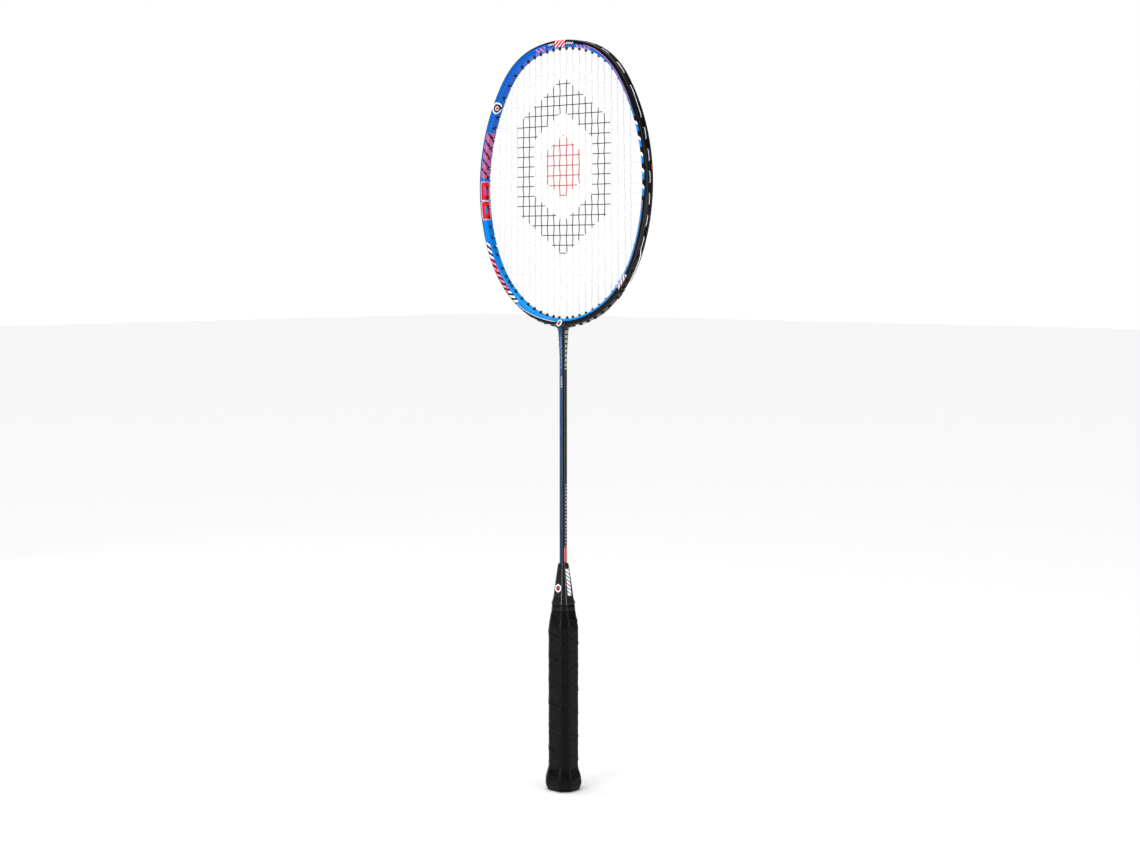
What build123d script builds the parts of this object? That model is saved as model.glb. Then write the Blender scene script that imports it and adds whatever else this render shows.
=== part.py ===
from build123d import *
import math
import os

# A badminton racket standing on its butt. Millimetres, +Z up along the shaft, the string bed in the XZ plane,
# the origin at the middle of the butt's underside. Every size that can be set by itself is named here once.

# Overall
total_length = 675.0
head_width = 202.0
head_height = 252.5

# Head outline: tangent arcs of the tube's centreline from the top round one side to the throat, as radius and
# turn in degrees. The last arc takes the rest of the half turn. The upper arcs, the side arc and the lower arcs
# are scaled so that the outline has the head's width and height.
upper_arcs = ((115.0, 15.0), (70.0, 40.5))
side_arc = (164.0, 56.0)
lower_arcs = ((102.0, 27.2), (88.0, None))

# Head tube: its section is tube_width across the loop's plane and tube_depth along Y
tube_width = 6.4
tube_depth = 9.0
tube_corner = 1.5
tube_wall = 0.9
cavity_corner = 1.2
cavity_flat = 0.1
groove_width = 3.8
groove_depth = 1.6

# Strings
string_radius = 0.35
string_offset = 0.4
main_pairs = 11
main_pitch_top = 8.0
main_pitch_bottom = 8.2
cross_count = 22
cross_pitch = 9.2
first_cross_drop = 26.3
last_grooved_cross = 17
groove_run_out = 0.68
shared_hole_spacing = 4.4
loop_bend_radius = 1.2
lap_bend_radius = 12.0
lap_run = 9.0
lap_head_gap = 0.6
knot_radius = 1.1
bend_room_share = 0.45
mouth_bend_share = 0.85
sharp_turn = 1.0

# Grommets
barrel_radius = 1.2
bore_radius = 0.8
grommet_head_radius = 1.7
grommet_head = 0.5
proud_grommet_head = 1.1
nub_length = 2.2
mouth_gap = 1.2
bore_flare = 0.45
seat_clearance = 0.08
string_clearance = 0.12
straight_hole_turn = 3.0

# Shaft
shaft_radius = 3.4
shaft_wall = 1.1
shaft_top_gap = 0.1
shaft_in_handle = 95.0

# Throat: the sleeve's walls are measured from the shaft at its foot, its waist and its top
throat_length = 26.0
throat_foot_wall = 0.15
throat_waist_height = 11.0
throat_waist_wall_x = 0.35
throat_waist_wall_y = 0.55
throat_top_wall_x = 0.95
throat_top_wall_y = 2.5
saddle_height = 1.04
saddle_turn = 15.0
throat_hole_gap = 0.6
bar_turn = 13.0
bar_clearance = 0.1
stem_clearance = 0.1
stem_length = 34.0

# Handle: an octagon with 45 degree corners, given over the tape as half sizes along X and Y and its corners' leg
grip_half_x = 13.5
grip_half_y = 12.2
grip_corner = 6.4
tape_thickness = 1.8
handle_top = 171.0
grip_taper_length = 22.0
grip_top_half = 9.3
grip_top_corner = 3.9
lightening_radius = 6.0
lightening_gap = 12.0

# Cone cap: an octagon whose corners take this share of its half width
cone_length = 37.0
cone_corner_share = 0.39
cone_lip_half = 9.5
cone_lip_height = 3.6
cone_lip_edge = 0.3
cone_base_half = 8.75
cone_top_wall = 0.85
cone_wall = 1.2
cone_nose_gap = 0.15
cone_nose_length = 22.0

# Butt: it flares this far past the grip along X and Y
butt_flare_x = 2.7
butt_flare_y = 2.8
butt_corner = 8.0
butt_straight = 11.0
butt_flare = 11.0
butt_floor = 5.0
butt_edge = 1.8
butt_bare_inset = 0.3
foot_chamfer_height = 1.26
badge_radius = 9.0
badge_thickness = 0.8
badge_depth = 1.3

# Finishing tape round the top of the grip, and the staples that hold the butt cap
finishing_tape_width = 4.5
finishing_tape_thickness = 0.25
staple_width = 9.0
staple_leg = 5.5
staple_wire_thickness = 0.6
staple_wire_height = 1.0
staple_above_floor = 3.5

# How far a cut runs past the face that it opens, and the steps that halve a search to nothing
cut_past = 1.0
halving_steps = 60

# Moving an octagon's sides in by 1 takes this much off its corners' leg
octagon_share = 2 - math.sqrt(2)

tube_half = tube_width / 2
groove_floor = tube_half - groove_depth
shaft_bore_radius = shaft_radius - shaft_wall
stem_radius = shaft_bore_radius - stem_clearance
throat_half_x = shaft_radius + throat_top_wall_x
throat_half_y = shaft_radius + throat_top_wall_y
cone_top_half = shaft_radius + cone_top_wall
butt_half_x = grip_half_x + butt_flare_x
butt_half_y = grip_half_y + butt_flare_y


def scaled_arcs():
    """The outline's arcs as (radius, start turn, end turn), scaled to the head's width and height."""
    arcs = list(upper_arcs) + [side_arc] + list(lower_arcs)
    turns = [0.0]
    for _, turn in arcs:
        turns.append(180.0 if turn is None else turns[-1] + turn)
    half_width = head_width / 2 - tube_half
    height = head_height - tube_width
    wide, tall = [], []
    for (radius, _), start, end in zip(arcs, turns, turns[1:]):
        start_sin, end_sin = math.sin(math.radians(start)), math.sin(math.radians(end))
        start_cos, end_cos = math.cos(math.radians(start)), math.cos(math.radians(end))
        wide.append((radius * (1 - start_sin), radius * (1 - end_sin), radius * (end_sin - start_sin)))
        tall.append(radius * (start_cos - end_cos))
    upper_wide, upper_tall = wide[0][2] + wide[1][2], tall[0] + tall[1]
    lower_wide, lower_tall = -wide[3][2] - wide[4][2], tall[3] + tall[4]
    side_above, side_below = wide[2][0], wide[2][1]
    side_scale = (height - half_width * (upper_tall / upper_wide + lower_tall / lower_wide)) / (
        tall[2] - side_above * upper_tall / upper_wide - side_below * lower_tall / lower_wide
    )
    upper_scale = (half_width - side_scale * side_above) / upper_wide
    lower_scale = (half_width - side_scale * side_below) / lower_wide
    scales = (upper_scale, upper_scale, side_scale, lower_scale, lower_scale)
    return [(arc[0] * scale, start, end) for arc, scale, start, end in zip(arcs, scales, turns, turns[1:])]


def arcs_with_centres():
    """Each arc as (centre x, centre z, radius, start turn, end turn)."""
    found = []
    x, z = 0.0, total_length - tube_half
    for radius, start, end in scaled_arcs():
        sin, cos = math.sin(math.radians(start)), math.cos(math.radians(start))
        centre_x, centre_z = x - radius * sin, z - radius * cos
        found.append((centre_x, centre_z, radius, start, end))
        x = centre_x + radius * math.sin(math.radians(end))
        z = centre_z + radius * math.cos(math.radians(end))
    return found


arcs = arcs_with_centres()
throat_z = arcs[-1][1] - arcs[-1][2] - tube_half


def station(turn, offset=0.0):
    """The point of the centreline where the outward normal has turned this far from +Z, moved out by offset."""
    for centre_x, centre_z, radius, _, end in arcs:
        if turn <= end:
            break
    reach = radius + offset
    return centre_x + reach * math.sin(math.radians(turn)), centre_z + reach * math.cos(math.radians(turn))


def distance_along(turn):
    """The centreline's length from the top to this turn."""
    length = 0.0
    for _, _, radius, start, end in arcs:
        length += radius * math.radians(max(0.0, min(turn, end) - start))
    return length


def find_turn(measure, target, low, high):
    """The turn from low to high where measure, which only rises or only falls there, meets the target."""
    rising = measure(high) > measure(low)
    for _ in range(halving_steps):
        middle = (low + high) / 2
        if (measure(middle) < target) == rising:
            low = middle
        else:
            high = middle
    return (low + high) / 2


def main_x(pair, pitch):
    return (pair + 0.5) * pitch


def cross_z(index):
    return total_length - first_cross_drop - index * cross_pitch


def throat_hole():
    """Turn and lean of the hole beside the throat: its mouth is at the first main, its head clears the sleeve."""
    inner = main_x(0, main_pitch_bottom)
    outer = max(inner, throat_half_x + grommet_head_radius + throat_hole_gap)
    depth = tube_half + nub_length + mouth_gap
    length = depth + tube_half
    middle = inner + (outer - inner) * depth / length
    turn = find_turn(lambda turn: station(turn)[0], middle, 90.0, 180.0)
    direction = math.degrees(math.atan2(outer - inner, length))
    return turn, (180.0 - direction) - turn


def side_holes():
    """The holes of one side as {name: hole}. A hole is (turn, lean in degrees); close neighbours share one."""
    found = {}
    for pair in range(main_pairs):
        place = main_x(pair, main_pitch_top)
        found["top", pair] = (find_turn(lambda t: station(t)[0], place, 0.0, 90.0), 0.0)
        if pair:
            place = main_x(pair, main_pitch_bottom)
            found["bottom", pair] = (find_turn(lambda t: station(t)[0], place, 90.0, 180.0), 0.0)
    found["bottom", 0] = throat_hole()
    for index in range(cross_count):
        found["cross", index] = (find_turn(lambda t: station(t)[1], cross_z(index), 0.0, 180.0), 0.0)
    names = sorted(found, key=lambda name: found[name][0])
    shared = set()
    for name, other in zip(names, names[1:]):
        gap = distance_along(found[other][0]) - distance_along(found[name][0])
        if gap < shared_hole_spacing and name not in shared:
            middle = ((found[name][0] + found[other][0]) / 2, 0.0)
            found[name] = found[other] = middle
            shared.update((name, other))
    for name, (turn, lean) in found.items():
        string_turn = {"top": 0.0, "bottom": 180.0, "cross": 90.0}[name[0]]
        if name not in shared and name != ("bottom", 0) and abs(string_turn - turn) < straight_hole_turn:
            found[name] = (turn, string_turn - turn)
    return found, shared


holes, shared_names = side_holes()
places = sorted(set(holes.values()))


def next_hole(hole, step):
    """The neighbouring hole, towards the throat with a step of 1 or the top with -1."""
    return places[places.index(hole) + step]


def groove_end_turn():
    """The groove runs out this share of the way from the last cross that it holds to the next hole."""
    last = holes["cross", last_grooved_cross]
    return last[0] + groove_run_out * (next_hole(last, 1)[0] - last[0])


def free_hole(hole, kinds, step):
    """The first hole on from this one that no string end of these kinds uses, so a tied end fits in it."""
    used = {place for name, place in holes.items() if name[0] in kinds}
    while hole in used:
        hole = next_hole(hole, step)
    return hole


groove_end = groove_end_turn()
main_tie = free_hole(holes["bottom", main_pairs - 1], ("top", "bottom"), -1)
first_cross_tie = free_hole(holes["cross", 0], ("cross",), -1)
last_cross_tie = free_hole(holes["cross", cross_count - 1], ("cross",), 1)


def hole_seat(hole):
    """How far out along the hole its grommet's head sits, and how thick that head is."""
    turn, lean = hole
    tilt = grommet_head_radius * math.tan(math.radians(abs(lean)))
    if turn < groove_end:
        return groove_floor + seat_clearance + tilt, grommet_head
    return tube_half + seat_clearance + tilt, proud_grommet_head


def hole_exit(hole):
    """How far out along the hole the string's own line turns."""
    seat, head = hole_seat(hole)
    return seat + head + string_clearance + string_radius


def along_hole(hole, side, reach, y=0.0):
    """A point this far out along a hole's axis. Side is 1 on the right, -1 on the left."""
    turn, lean = hole
    x, z = station(turn)
    direction = math.radians(turn + lean)
    return (side * (x + reach * math.sin(direction)), y, z + reach * math.cos(direction))


def hole_plane(hole, side):
    direction = math.radians(hole[0] + hole[1])
    return Plane(
        origin=along_hole(hole, side, 0.0),
        x_dir=(0, 1, 0),
        z_dir=(side * math.sin(direction), 0, math.cos(direction)),
    )


def round_loop(section, start_turn, end_turn, side):
    """A section, with its X outwards, carried round the centreline from one turn to another."""
    pieces = []
    for centre_x, centre_z, _, start, end in arcs:
        low, high = max(start, start_turn), min(end, end_turn)
        if high - low < 0.01:
            continue
        x, z = station(low + 1e-9)
        angle = math.radians(low)
        plane = Plane(
            origin=(x, 0, z),
            x_dir=(math.sin(angle), 0, math.cos(angle)),
            z_dir=(math.cos(angle), 0, -math.sin(angle)),
        )
        axis = Axis((centre_x, 0, centre_z), (0, 1, 0))
        piece = revolve(plane * section, axis, high - low)
        pieces.append(piece if side > 0 else mirror(piece, about=Plane.YZ))
    return pieces


def joined(pieces):
    return pieces[0].fuse(*pieces[1:]) if len(pieces) > 1 else pieces[0]


def tube_outline():
    return RectangleRounded(tube_width, tube_depth, tube_corner)


def cavity_outline(clearance=0.0):
    low, high = -tube_half + tube_wall + clearance, groove_floor - tube_wall - clearance
    depth = tube_depth - 2 * (tube_wall + clearance)
    corner = min(cavity_corner, (high - low - cavity_flat) / 2)
    return Pos((low + high) / 2, 0) * RectangleRounded(high - low, depth, corner)


def drill(hole, side, radius):
    length = tube_width + 2 * grommet_head_radius
    return hole_plane(hole, side) * Cylinder(radius, length)


def every_hole():
    return {(hole, side) for hole in holes.values() for side in (-1, 1)}


def make_head_frame():
    """One hollow tube round the head, with the string groove, every grommet's hole and the stem's hole."""
    wall = tube_outline() - cavity_outline()
    tube = joined(round_loop(wall, 0.0, 180.0, 1) + round_loop(wall, 0.0, 180.0, -1))
    cut_depth = groove_depth + cut_past
    slot = Pos(groove_floor + cut_depth / 2, 0) * Rectangle(cut_depth, groove_width)
    groove = joined(round_loop(slot, 0.0, groove_end, 1) + round_loop(slot, 0.0, groove_end, -1))
    stem_hole_length = 2 * (groove_depth + tube_wall) + cut_past
    stem_hole = Pos(0, 0, throat_z) * Cylinder(stem_radius, stem_hole_length)
    drills = [drill(hole, side, barrel_radius) for hole, side in sorted(every_hole())]
    return tube - groove - stem_hole - drills


def make_t_piece():
    """A curved bar inside the tube at the throat, drilled with it, and a stem down into the shaft."""
    section = cavity_outline(bar_clearance)
    start = 180.0 - bar_turn
    bar = joined(round_loop(section, start, 180.0, 1) + round_loop(section, start, 180.0, -1))
    stem_top = throat_z + tube_half
    stem = Pos(0, 0, stem_top - stem_length / 2) * Cylinder(stem_radius, stem_length)
    piece = bar + stem
    drills = [drill(hole, side, barrel_radius) for hole, side in sorted(every_hole())]
    return piece - drills


def make_throat_sleeve():
    """A moulded fairing from the shaft out to the tube, saddled to the tube's underside."""
    foot = throat_z - throat_length
    waist_half_x = shaft_radius + throat_waist_wall_x
    waist_half_y = shaft_radius + throat_waist_wall_y
    round_end = Plane.XY.offset(foot) * Circle(shaft_radius + throat_foot_wall)
    waist = Plane.XY.offset(foot + throat_waist_height) * Ellipse(waist_half_x, waist_half_y)
    top = Plane.XY.offset(throat_z) * Ellipse(throat_half_x, throat_half_y)
    body = loft([round_end, waist, top])
    collar = Pos(0, 0, throat_z) * extrude(Ellipse(throat_half_x, throat_half_y), saddle_height)
    start = 180.0 - saddle_turn
    tube = tube_outline()
    envelope = joined(round_loop(tube, start, 180.0, 1) + round_loop(tube, start, 180.0, -1))
    bore = Pos(0, 0, throat_z) * Cylinder(shaft_radius, 2 * (throat_length + cut_past))
    sleeve = body + collar - envelope - bore
    return max(sleeve.solids(), key=lambda solid: solid.volume)


def make_shaft():
    bottom = handle_top - shaft_in_handle
    length = throat_z - shaft_top_gap - bottom
    tube = Cylinder(shaft_radius, length) - Cylinder(shaft_bore_radius, length)
    return Pos(0, 0, bottom + length / 2) * tube


def octagon(half_x, half_y, corner):
    """An octagon with 45 degree corners; corner is the leg that each one takes off."""
    points = [
        (half_x, half_y - corner),
        (half_x - corner, half_y),
        (corner - half_x, half_y),
        (-half_x, half_y - corner),
        (-half_x, corner - half_y),
        (corner - half_x, -half_y),
        (half_x - corner, -half_y),
        (half_x, corner - half_y),
    ]
    return make_face(Polyline(*points, close=True))


def inset_octagon(half_x, half_y, corner, inset):
    """The same octagon with every side moved in by the inset."""
    return octagon(half_x - inset, half_y - inset, corner - inset * octagon_share)


def stack(sections):
    """A solid through (z, face) sections, ruled from each to the next."""
    pieces = []
    for (low, lower), (high, upper) in zip(sections, sections[1:]):
        pieces.append(loft([Plane.XY.offset(low) * lower, Plane.XY.offset(high) * upper], ruled=True))
    return joined(pieces)


def handle_sections(inset):
    """The handle's straight and tapered stretches, moved in from the tape's surface by the inset."""
    straight = inset_octagon(grip_half_x, grip_half_y, grip_corner, inset)
    top = inset_octagon(grip_top_half, grip_top_half, grip_top_corner, inset)
    return straight, top


def make_handle_core():
    """The wooden core: octagonal, bored for the shaft, lightened from below, with a nose inside the cone cap."""
    straight, top = handle_sections(tape_thickness)
    taper_start = handle_top - grip_taper_length
    nose_inset = cone_wall + cone_nose_gap
    nose_base = cone_octagon(cone_base_half, nose_inset)
    nose_tip = cone_octagon(cone_half_at(cone_nose_length), nose_inset)
    body = stack([(butt_floor, straight), (taper_start, straight), (handle_top, top)])
    nose = stack([(handle_top, nose_base), (handle_top + cone_nose_length, nose_tip)])
    shaft_bottom = handle_top - shaft_in_handle
    bore_height = handle_top + cone_length - shaft_bottom
    bore = Pos(0, 0, shaft_bottom + bore_height / 2) * Cylinder(shaft_radius, bore_height)
    lightening_height = shaft_bottom - lightening_gap - butt_floor
    lightening = Pos(0, 0, butt_floor + lightening_height / 2) * Cylinder(lightening_radius, lightening_height)
    return body + nose - bore - lightening - make_butt_staples()


def cone_octagon(half, inset=0.0):
    """The cone cap's section with this half width, every side moved in by the inset."""
    return inset_octagon(half, half, half * cone_corner_share, inset)


def cone_half_at(height):
    """The cone cap's half width at a height above the handle, on its straight slope."""
    slope = (cone_base_half - cone_top_half) / (cone_length - cone_lip_height)
    return cone_base_half - slope * max(0.0, height - cone_lip_height)


def make_cone_cap():
    """A faceted moulded cap over the handle's nose and round the shaft, with a lip at its base."""
    lip = stack(
        [
            (handle_top, cone_octagon(cone_lip_half, cone_lip_edge)),
            (handle_top + cone_lip_edge, cone_octagon(cone_lip_half)),
            (handle_top + cone_lip_height, cone_octagon(cone_lip_half, cone_lip_edge)),
        ]
    )
    slope = [
        (handle_top + cone_lip_height, cone_octagon(cone_base_half)),
        (handle_top + cone_length, cone_octagon(cone_top_half)),
    ]
    cap = lip + stack(slope)
    pocket = stack(
        [
            (handle_top, cone_octagon(cone_base_half, cone_wall)),
            (handle_top + cone_nose_length, cone_octagon(cone_half_at(cone_nose_length), cone_wall)),
        ]
    )
    bore = Pos(0, 0, handle_top + cone_length / 2) * Cylinder(shaft_radius, cone_length + 2 * cut_past)
    return cap - pocket - bore


def butt_sections(inset):
    """The flared butt from its underside up, moved in from the tape's surface by the inset."""
    flare = inset_octagon(butt_half_x, butt_half_y, butt_corner, inset)
    straight, _ = handle_sections(inset)
    top = butt_straight + butt_flare
    return flare, straight, top


def make_butt_cap():
    """The flared cap glued over the end of the core, with a flat foot and a pocket for the badge."""
    flare, straight, top = butt_sections(tape_thickness)
    foot = inset_octagon(butt_half_x, butt_half_y, butt_corner, butt_edge)
    bare = inset_octagon(butt_half_x, butt_half_y, butt_corner, butt_bare_inset)
    rim = stack([(0.0, foot), (foot_chamfer_height, bare), (butt_edge, bare)])
    body = stack([(butt_edge, flare), (butt_straight, flare), (top, straight)])
    core, _ = handle_sections(tape_thickness)
    pocket = Pos(0, 0, butt_floor) * extrude(core, top)
    badge_pocket = Cylinder(badge_radius, badge_depth * 2)
    return rim + body - pocket - badge_pocket - make_butt_staples()


def make_butt_staples():
    """Two flat staples, flush in the cap's front and back faces, whose legs reach the core."""
    face = butt_half_y - tape_thickness
    height = butt_floor + staple_above_floor
    crown_y = face - staple_wire_thickness / 2
    crown = Pos(0, crown_y, height) * Box(staple_width, staple_wire_thickness, staple_wire_height)
    leg_x = (staple_width - staple_wire_thickness) / 2
    leg_y = face - staple_leg / 2
    leg = Box(staple_wire_thickness, staple_leg, staple_wire_height)
    staple = crown + Pos(leg_x, leg_y, height) * leg + Pos(-leg_x, leg_y, height) * leg
    return Compound(children=[staple, mirror(staple, about=Plane.XZ)])


def make_butt_badge():
    return Pos(0, 0, badge_depth - badge_thickness / 2) * Cylinder(badge_radius, badge_thickness)


def make_grip_wrap():
    """The wound tape as one sleeve: over the butt's flare, the straight handle and the taper."""
    flare, straight, flare_top = butt_sections(0.0)
    _, top = handle_sections(0.0)
    taper_start = handle_top - grip_taper_length
    outside = stack(
        [
            (butt_edge, flare),
            (butt_straight, flare),
            (flare_top, straight),
            (taper_start, straight),
            (handle_top, top),
        ]
    )
    inner_flare, inner_straight, _ = butt_sections(tape_thickness)
    _, inner_top = handle_sections(tape_thickness)
    inside = stack(
        [
            (butt_edge, inner_flare),
            (butt_straight, inner_flare),
            (flare_top, inner_straight),
            (taper_start, inner_straight),
            (handle_top, inner_top),
        ]
    )
    return outside - inside


def make_finishing_tape():
    """A thin band round the top of the tape, which follows the taper."""
    share = finishing_tape_width / grip_taper_length
    half_x = grip_top_half + share * (grip_half_x - grip_top_half)
    half_y = grip_top_half + share * (grip_half_y - grip_top_half)
    corner = grip_top_corner + share * (grip_corner - grip_top_corner)
    low = handle_top - finishing_tape_width
    inner = [(low, octagon(half_x, half_y, corner)), (handle_top, handle_sections(0.0)[1])]
    outer = [
        (low, inset_octagon(half_x, half_y, corner, -finishing_tape_thickness)),
        (handle_top, handle_sections(-finishing_tape_thickness)[1]),
    ]
    return stack(outer) - stack(inner)


def grommet(seat, head):
    """One grommet along +Z: a barrel from the nub's tip to the seat, a flared head above it."""
    tip = -(tube_half + nub_length)
    top = seat + head
    points = [
        (bore_radius, tip),
        (barrel_radius, tip),
        (barrel_radius, seat),
        (grommet_head_radius, seat),
        (grommet_head_radius, top),
        (bore_radius + bore_flare, top),
        (bore_radius, top - bore_flare),
    ]
    return revolve(Plane.XZ * make_face(Polyline(*points, close=True)), Axis.Z)


def grommet_group(name, side):
    """The node that a hole's grommet belongs to."""
    tied = {(main_tie, -1), (main_tie, 1), (first_cross_tie, -1), (last_cross_tie, -1)}
    if (holes[name], side) in tied:
        return "grommets_tie_off"
    if name in shared_names:
        return "grommets_shared"
    if name == ("bottom", 0):
        return "grommets_throat"
    if name[0] == "cross":
        return "grommets_right" if side > 0 else "grommets_left"
    return "grommets_" + name[0]


def make_grommets():
    """{node: grommets}. A shared hole has one grommet."""
    groups, done = {}, set()
    for name, hole in sorted(holes.items()):
        for side in (-1, 1):
            if (hole, side) in done:
                continue
            done.add((hole, side))
            piece = hole_plane(hole, side) * grommet(*hole_seat(hole))
            groups.setdefault(grommet_group(name, side), []).append(piece)
    return {node: Compound(children=pieces) for node, pieces in groups.items()}


def lap(hole, other, side, y):
    """Points that keep a loop between two holes of one side on the tube's curve, and level over a proud head."""
    first, last = hole_exit(hole), hole_exit(other)
    length = abs(distance_along(other[0]) - distance_along(hole[0]))
    count = max(0, math.ceil(length / lap_run) - 1)
    steps = [(step + 1) / (count + 1) for step in range(count)]
    levels = [(share, first + share * (last - first)) for share in steps]
    past_head = (grommet_head_radius + lap_head_gap) / length
    if first - last > grommet_head:
        levels = [(past_head, first)]
    if last - first > grommet_head:
        levels = [(1 - past_head, last)]
    points = []
    for share, level in levels:
        x, z = station(hole[0] + share * (other[0] - hole[0]), level)
        points.append((side * x, y, z))
    return points


def lap_over_top(hole, y):
    """The loop between the two middle mains crosses the top of the head."""
    x, z = station(0.0, hole_exit(hole))
    return [(x, y, z)]


def through(hole, side, y, outwards):
    """The string's points through one hole. A hole drilled along its string needs no bend at its mouth."""
    mouth = along_hole(hole, side, -(tube_half + nub_length + mouth_gap), y)
    leave = along_hole(hole, side, hole_exit(hole), y)
    straight = hole[1] and hole != holes["bottom", 0]
    points = [leave] if straight else [mouth, leave]
    return points if outwards else points[::-1]


def tie_off(hole, other, side, y):
    """From a hole's exit along the outside and back in through the next hole, to where the knot is."""
    knot = along_hole(other, side, -(tube_half + nub_length + knot_radius), y)
    return lap(hole, other, side, y) + [along_hole(other, side, hole_exit(other), y), knot]


def string_solid(points, knots):
    """A round string on straight runs and tangent arcs, each as large as its two runs allow."""
    radii = []
    vectors = [Vector(*point) for point in points]
    for before, here, after in zip(vectors, vectors[1:], vectors[2:]):
        arriving, leaving = here - before, after - here
        turn = math.radians(arriving.get_angle(leaving))
        room = bend_room_share * min(arriving.length, leaving.length) / math.tan(turn / 2)
        gentle = min(lap_bend_radius, mouth_bend_share * mouth_gap / math.tan(turn / 2))
        radii.append(min(room, loop_bend_radius if turn > sharp_turn else gentle))
    path = FilletPolyline(*points, radius=radii)
    start = Plane(origin=path @ 0, z_dir=path % 0)
    string = sweep(start * Circle(string_radius), path=path)
    expected = math.pi * string_radius**2 * path.length
    print("string length", round(path.length), "volume over expected", round(string.volume / expected, 4))
    return string + [Pos(*knot) * Sphere(knot_radius) for knot in knots]


def main_ends():
    """Each main from left to right as (side, pair)."""
    left = [(-1, pair) for pair in reversed(range(main_pairs))]
    return left + [(1, pair) for pair in range(main_pairs)]


def knot_place(hole, side, y):
    """The knot's middle: past the nub, and to the string's own side of the bed."""
    x, _, z = along_hole(hole, side, -(tube_half + nub_length + knot_radius), 0.0)
    return (x, y + math.copysign(knot_radius - string_radius, y), z)


def make_main_string():
    """All the mains as one string: up the first, over, down the next, tied off at both lower corners."""
    y = -string_offset
    ends = main_ends()
    outer = holes["bottom", main_pairs - 1]
    points = list(reversed(tie_off(outer, main_tie, -1, y)))
    for index, (side, pair) in enumerate(ends):
        upwards = index % 2 == 0
        bottom, top = holes["bottom", pair], holes["top", pair]
        if upwards:
            points += through(bottom, side, y, False) + through(top, side, y, True)
        else:
            points += through(top, side, y, False) + through(bottom, side, y, True)
        if index + 1 < len(ends):
            next_side, next_pair = ends[index + 1]
            if side != next_side:
                points += lap_over_top(top, y)
            elif upwards:
                points += lap(top, holes["top", next_pair], side, y)
            else:
                points += lap(bottom, holes["bottom", next_pair], side, y)
    points += tie_off(outer, main_tie, 1, y)
    knots = [knot_place(main_tie, side, y) for side in (-1, 1)]
    return string_solid(points, knots)


def make_cross_string():
    """All the crosses as one string, from the top down, tied off at its first and last left ends."""
    y = string_offset
    points = list(reversed(tie_off(holes["cross", 0], first_cross_tie, -1, y)))
    for index in range(cross_count):
        hole = holes["cross", index]
        side = -1 if index % 2 == 0 else 1
        points += through(hole, side, y, False) + through(hole, -side, y, True)
        if index + 1 < cross_count:
            points += lap(hole, holes["cross", index + 1], -side, y)
    points += tie_off(holes["cross", cross_count - 1], last_cross_tie, -1, y)
    knots = [knot_place(first_cross_tie, -1, y), knot_place(last_cross_tie, -1, y)]
    return string_solid(points, knots)


def main():
    os.makedirs("parts", exist_ok=True)
    parts = {
        "head_frame": make_head_frame(),
        "t_piece": make_t_piece(),
        "throat_sleeve": make_throat_sleeve(),
        "shaft": make_shaft(),
        "handle_core": make_handle_core(),
        "cone_cap": make_cone_cap(),
        "butt_cap": make_butt_cap(),
        "butt_badge": make_butt_badge(),
        "butt_staples": make_butt_staples(),
        "grip_wrap": make_grip_wrap(),
        "finishing_tape": make_finishing_tape(),
        "main_string": make_main_string(),
        "cross_string": make_cross_string(),
    }
    parts.update(make_grommets())
    for name, shape in parts.items():
        export_step(shape, "parts/" + name + ".step")


main()
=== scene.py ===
import math

import bpy
import numpy as np
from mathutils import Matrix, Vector


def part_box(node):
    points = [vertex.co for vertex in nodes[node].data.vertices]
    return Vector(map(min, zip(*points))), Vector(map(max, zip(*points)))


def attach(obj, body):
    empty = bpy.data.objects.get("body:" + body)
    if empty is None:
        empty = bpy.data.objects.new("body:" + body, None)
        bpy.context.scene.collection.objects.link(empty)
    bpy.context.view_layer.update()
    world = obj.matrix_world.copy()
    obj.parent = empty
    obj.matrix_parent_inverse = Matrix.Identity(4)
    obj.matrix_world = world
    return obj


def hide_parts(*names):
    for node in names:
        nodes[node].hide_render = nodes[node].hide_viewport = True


# A badminton racket standing on its butt. Metres, Z up the shaft, the string bed in the XZ plane,
# the origin under the butt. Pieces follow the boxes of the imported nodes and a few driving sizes.
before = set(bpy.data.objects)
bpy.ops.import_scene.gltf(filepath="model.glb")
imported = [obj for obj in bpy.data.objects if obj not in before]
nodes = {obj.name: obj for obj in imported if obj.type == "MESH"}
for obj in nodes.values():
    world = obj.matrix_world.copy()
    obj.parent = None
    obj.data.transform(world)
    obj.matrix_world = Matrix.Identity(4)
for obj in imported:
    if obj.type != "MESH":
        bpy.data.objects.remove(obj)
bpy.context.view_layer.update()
scene = bpy.context.scene
print("frame loaded")


# mesh helpers

def gridPatch(points, wrapRows=False, wrapColumns=True, uvs=None, first=0):
    # points is rows x columns x 3; quads join each to its right and upper neighbour
    rows, columns = points.shape[:2]
    r = np.arange(rows if wrapRows else rows - 1)[:, None, None]
    c = np.arange(columns if wrapColumns else columns - 1)[None, :, None]
    dr, dc = np.array([0, 0, 1, 1]), np.array([0, 1, 1, 0])
    quads = ((r + dr) % rows) * columns + (c + dc) % columns + first
    loops = None if uvs is None else uvs[r + dr, c + dc].reshape(-1, 4, 2)
    return quads.reshape(-1, 4), loops


def capFan(ring, centre, up):
    # triangles from a ring of vertex numbers to one centre vertex
    after = np.roll(ring, -1)
    middle = np.full(len(ring), centre)
    return np.stack([ring, after, middle] if up else [after, ring, middle], axis=1)


def signedVolume(points, polys):
    # six times the volume under each triangle of the fan of every polygon
    total = 0.0
    for faces in polys:
        for k in range(1, faces.shape[1] - 1):
            a, b, c = points[faces[:, 0]], points[faces[:, k]], points[faces[:, k + 1]]
            total += float(np.einsum("ij,ij->i", a, np.cross(b, c)).sum())
    return total


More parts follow.
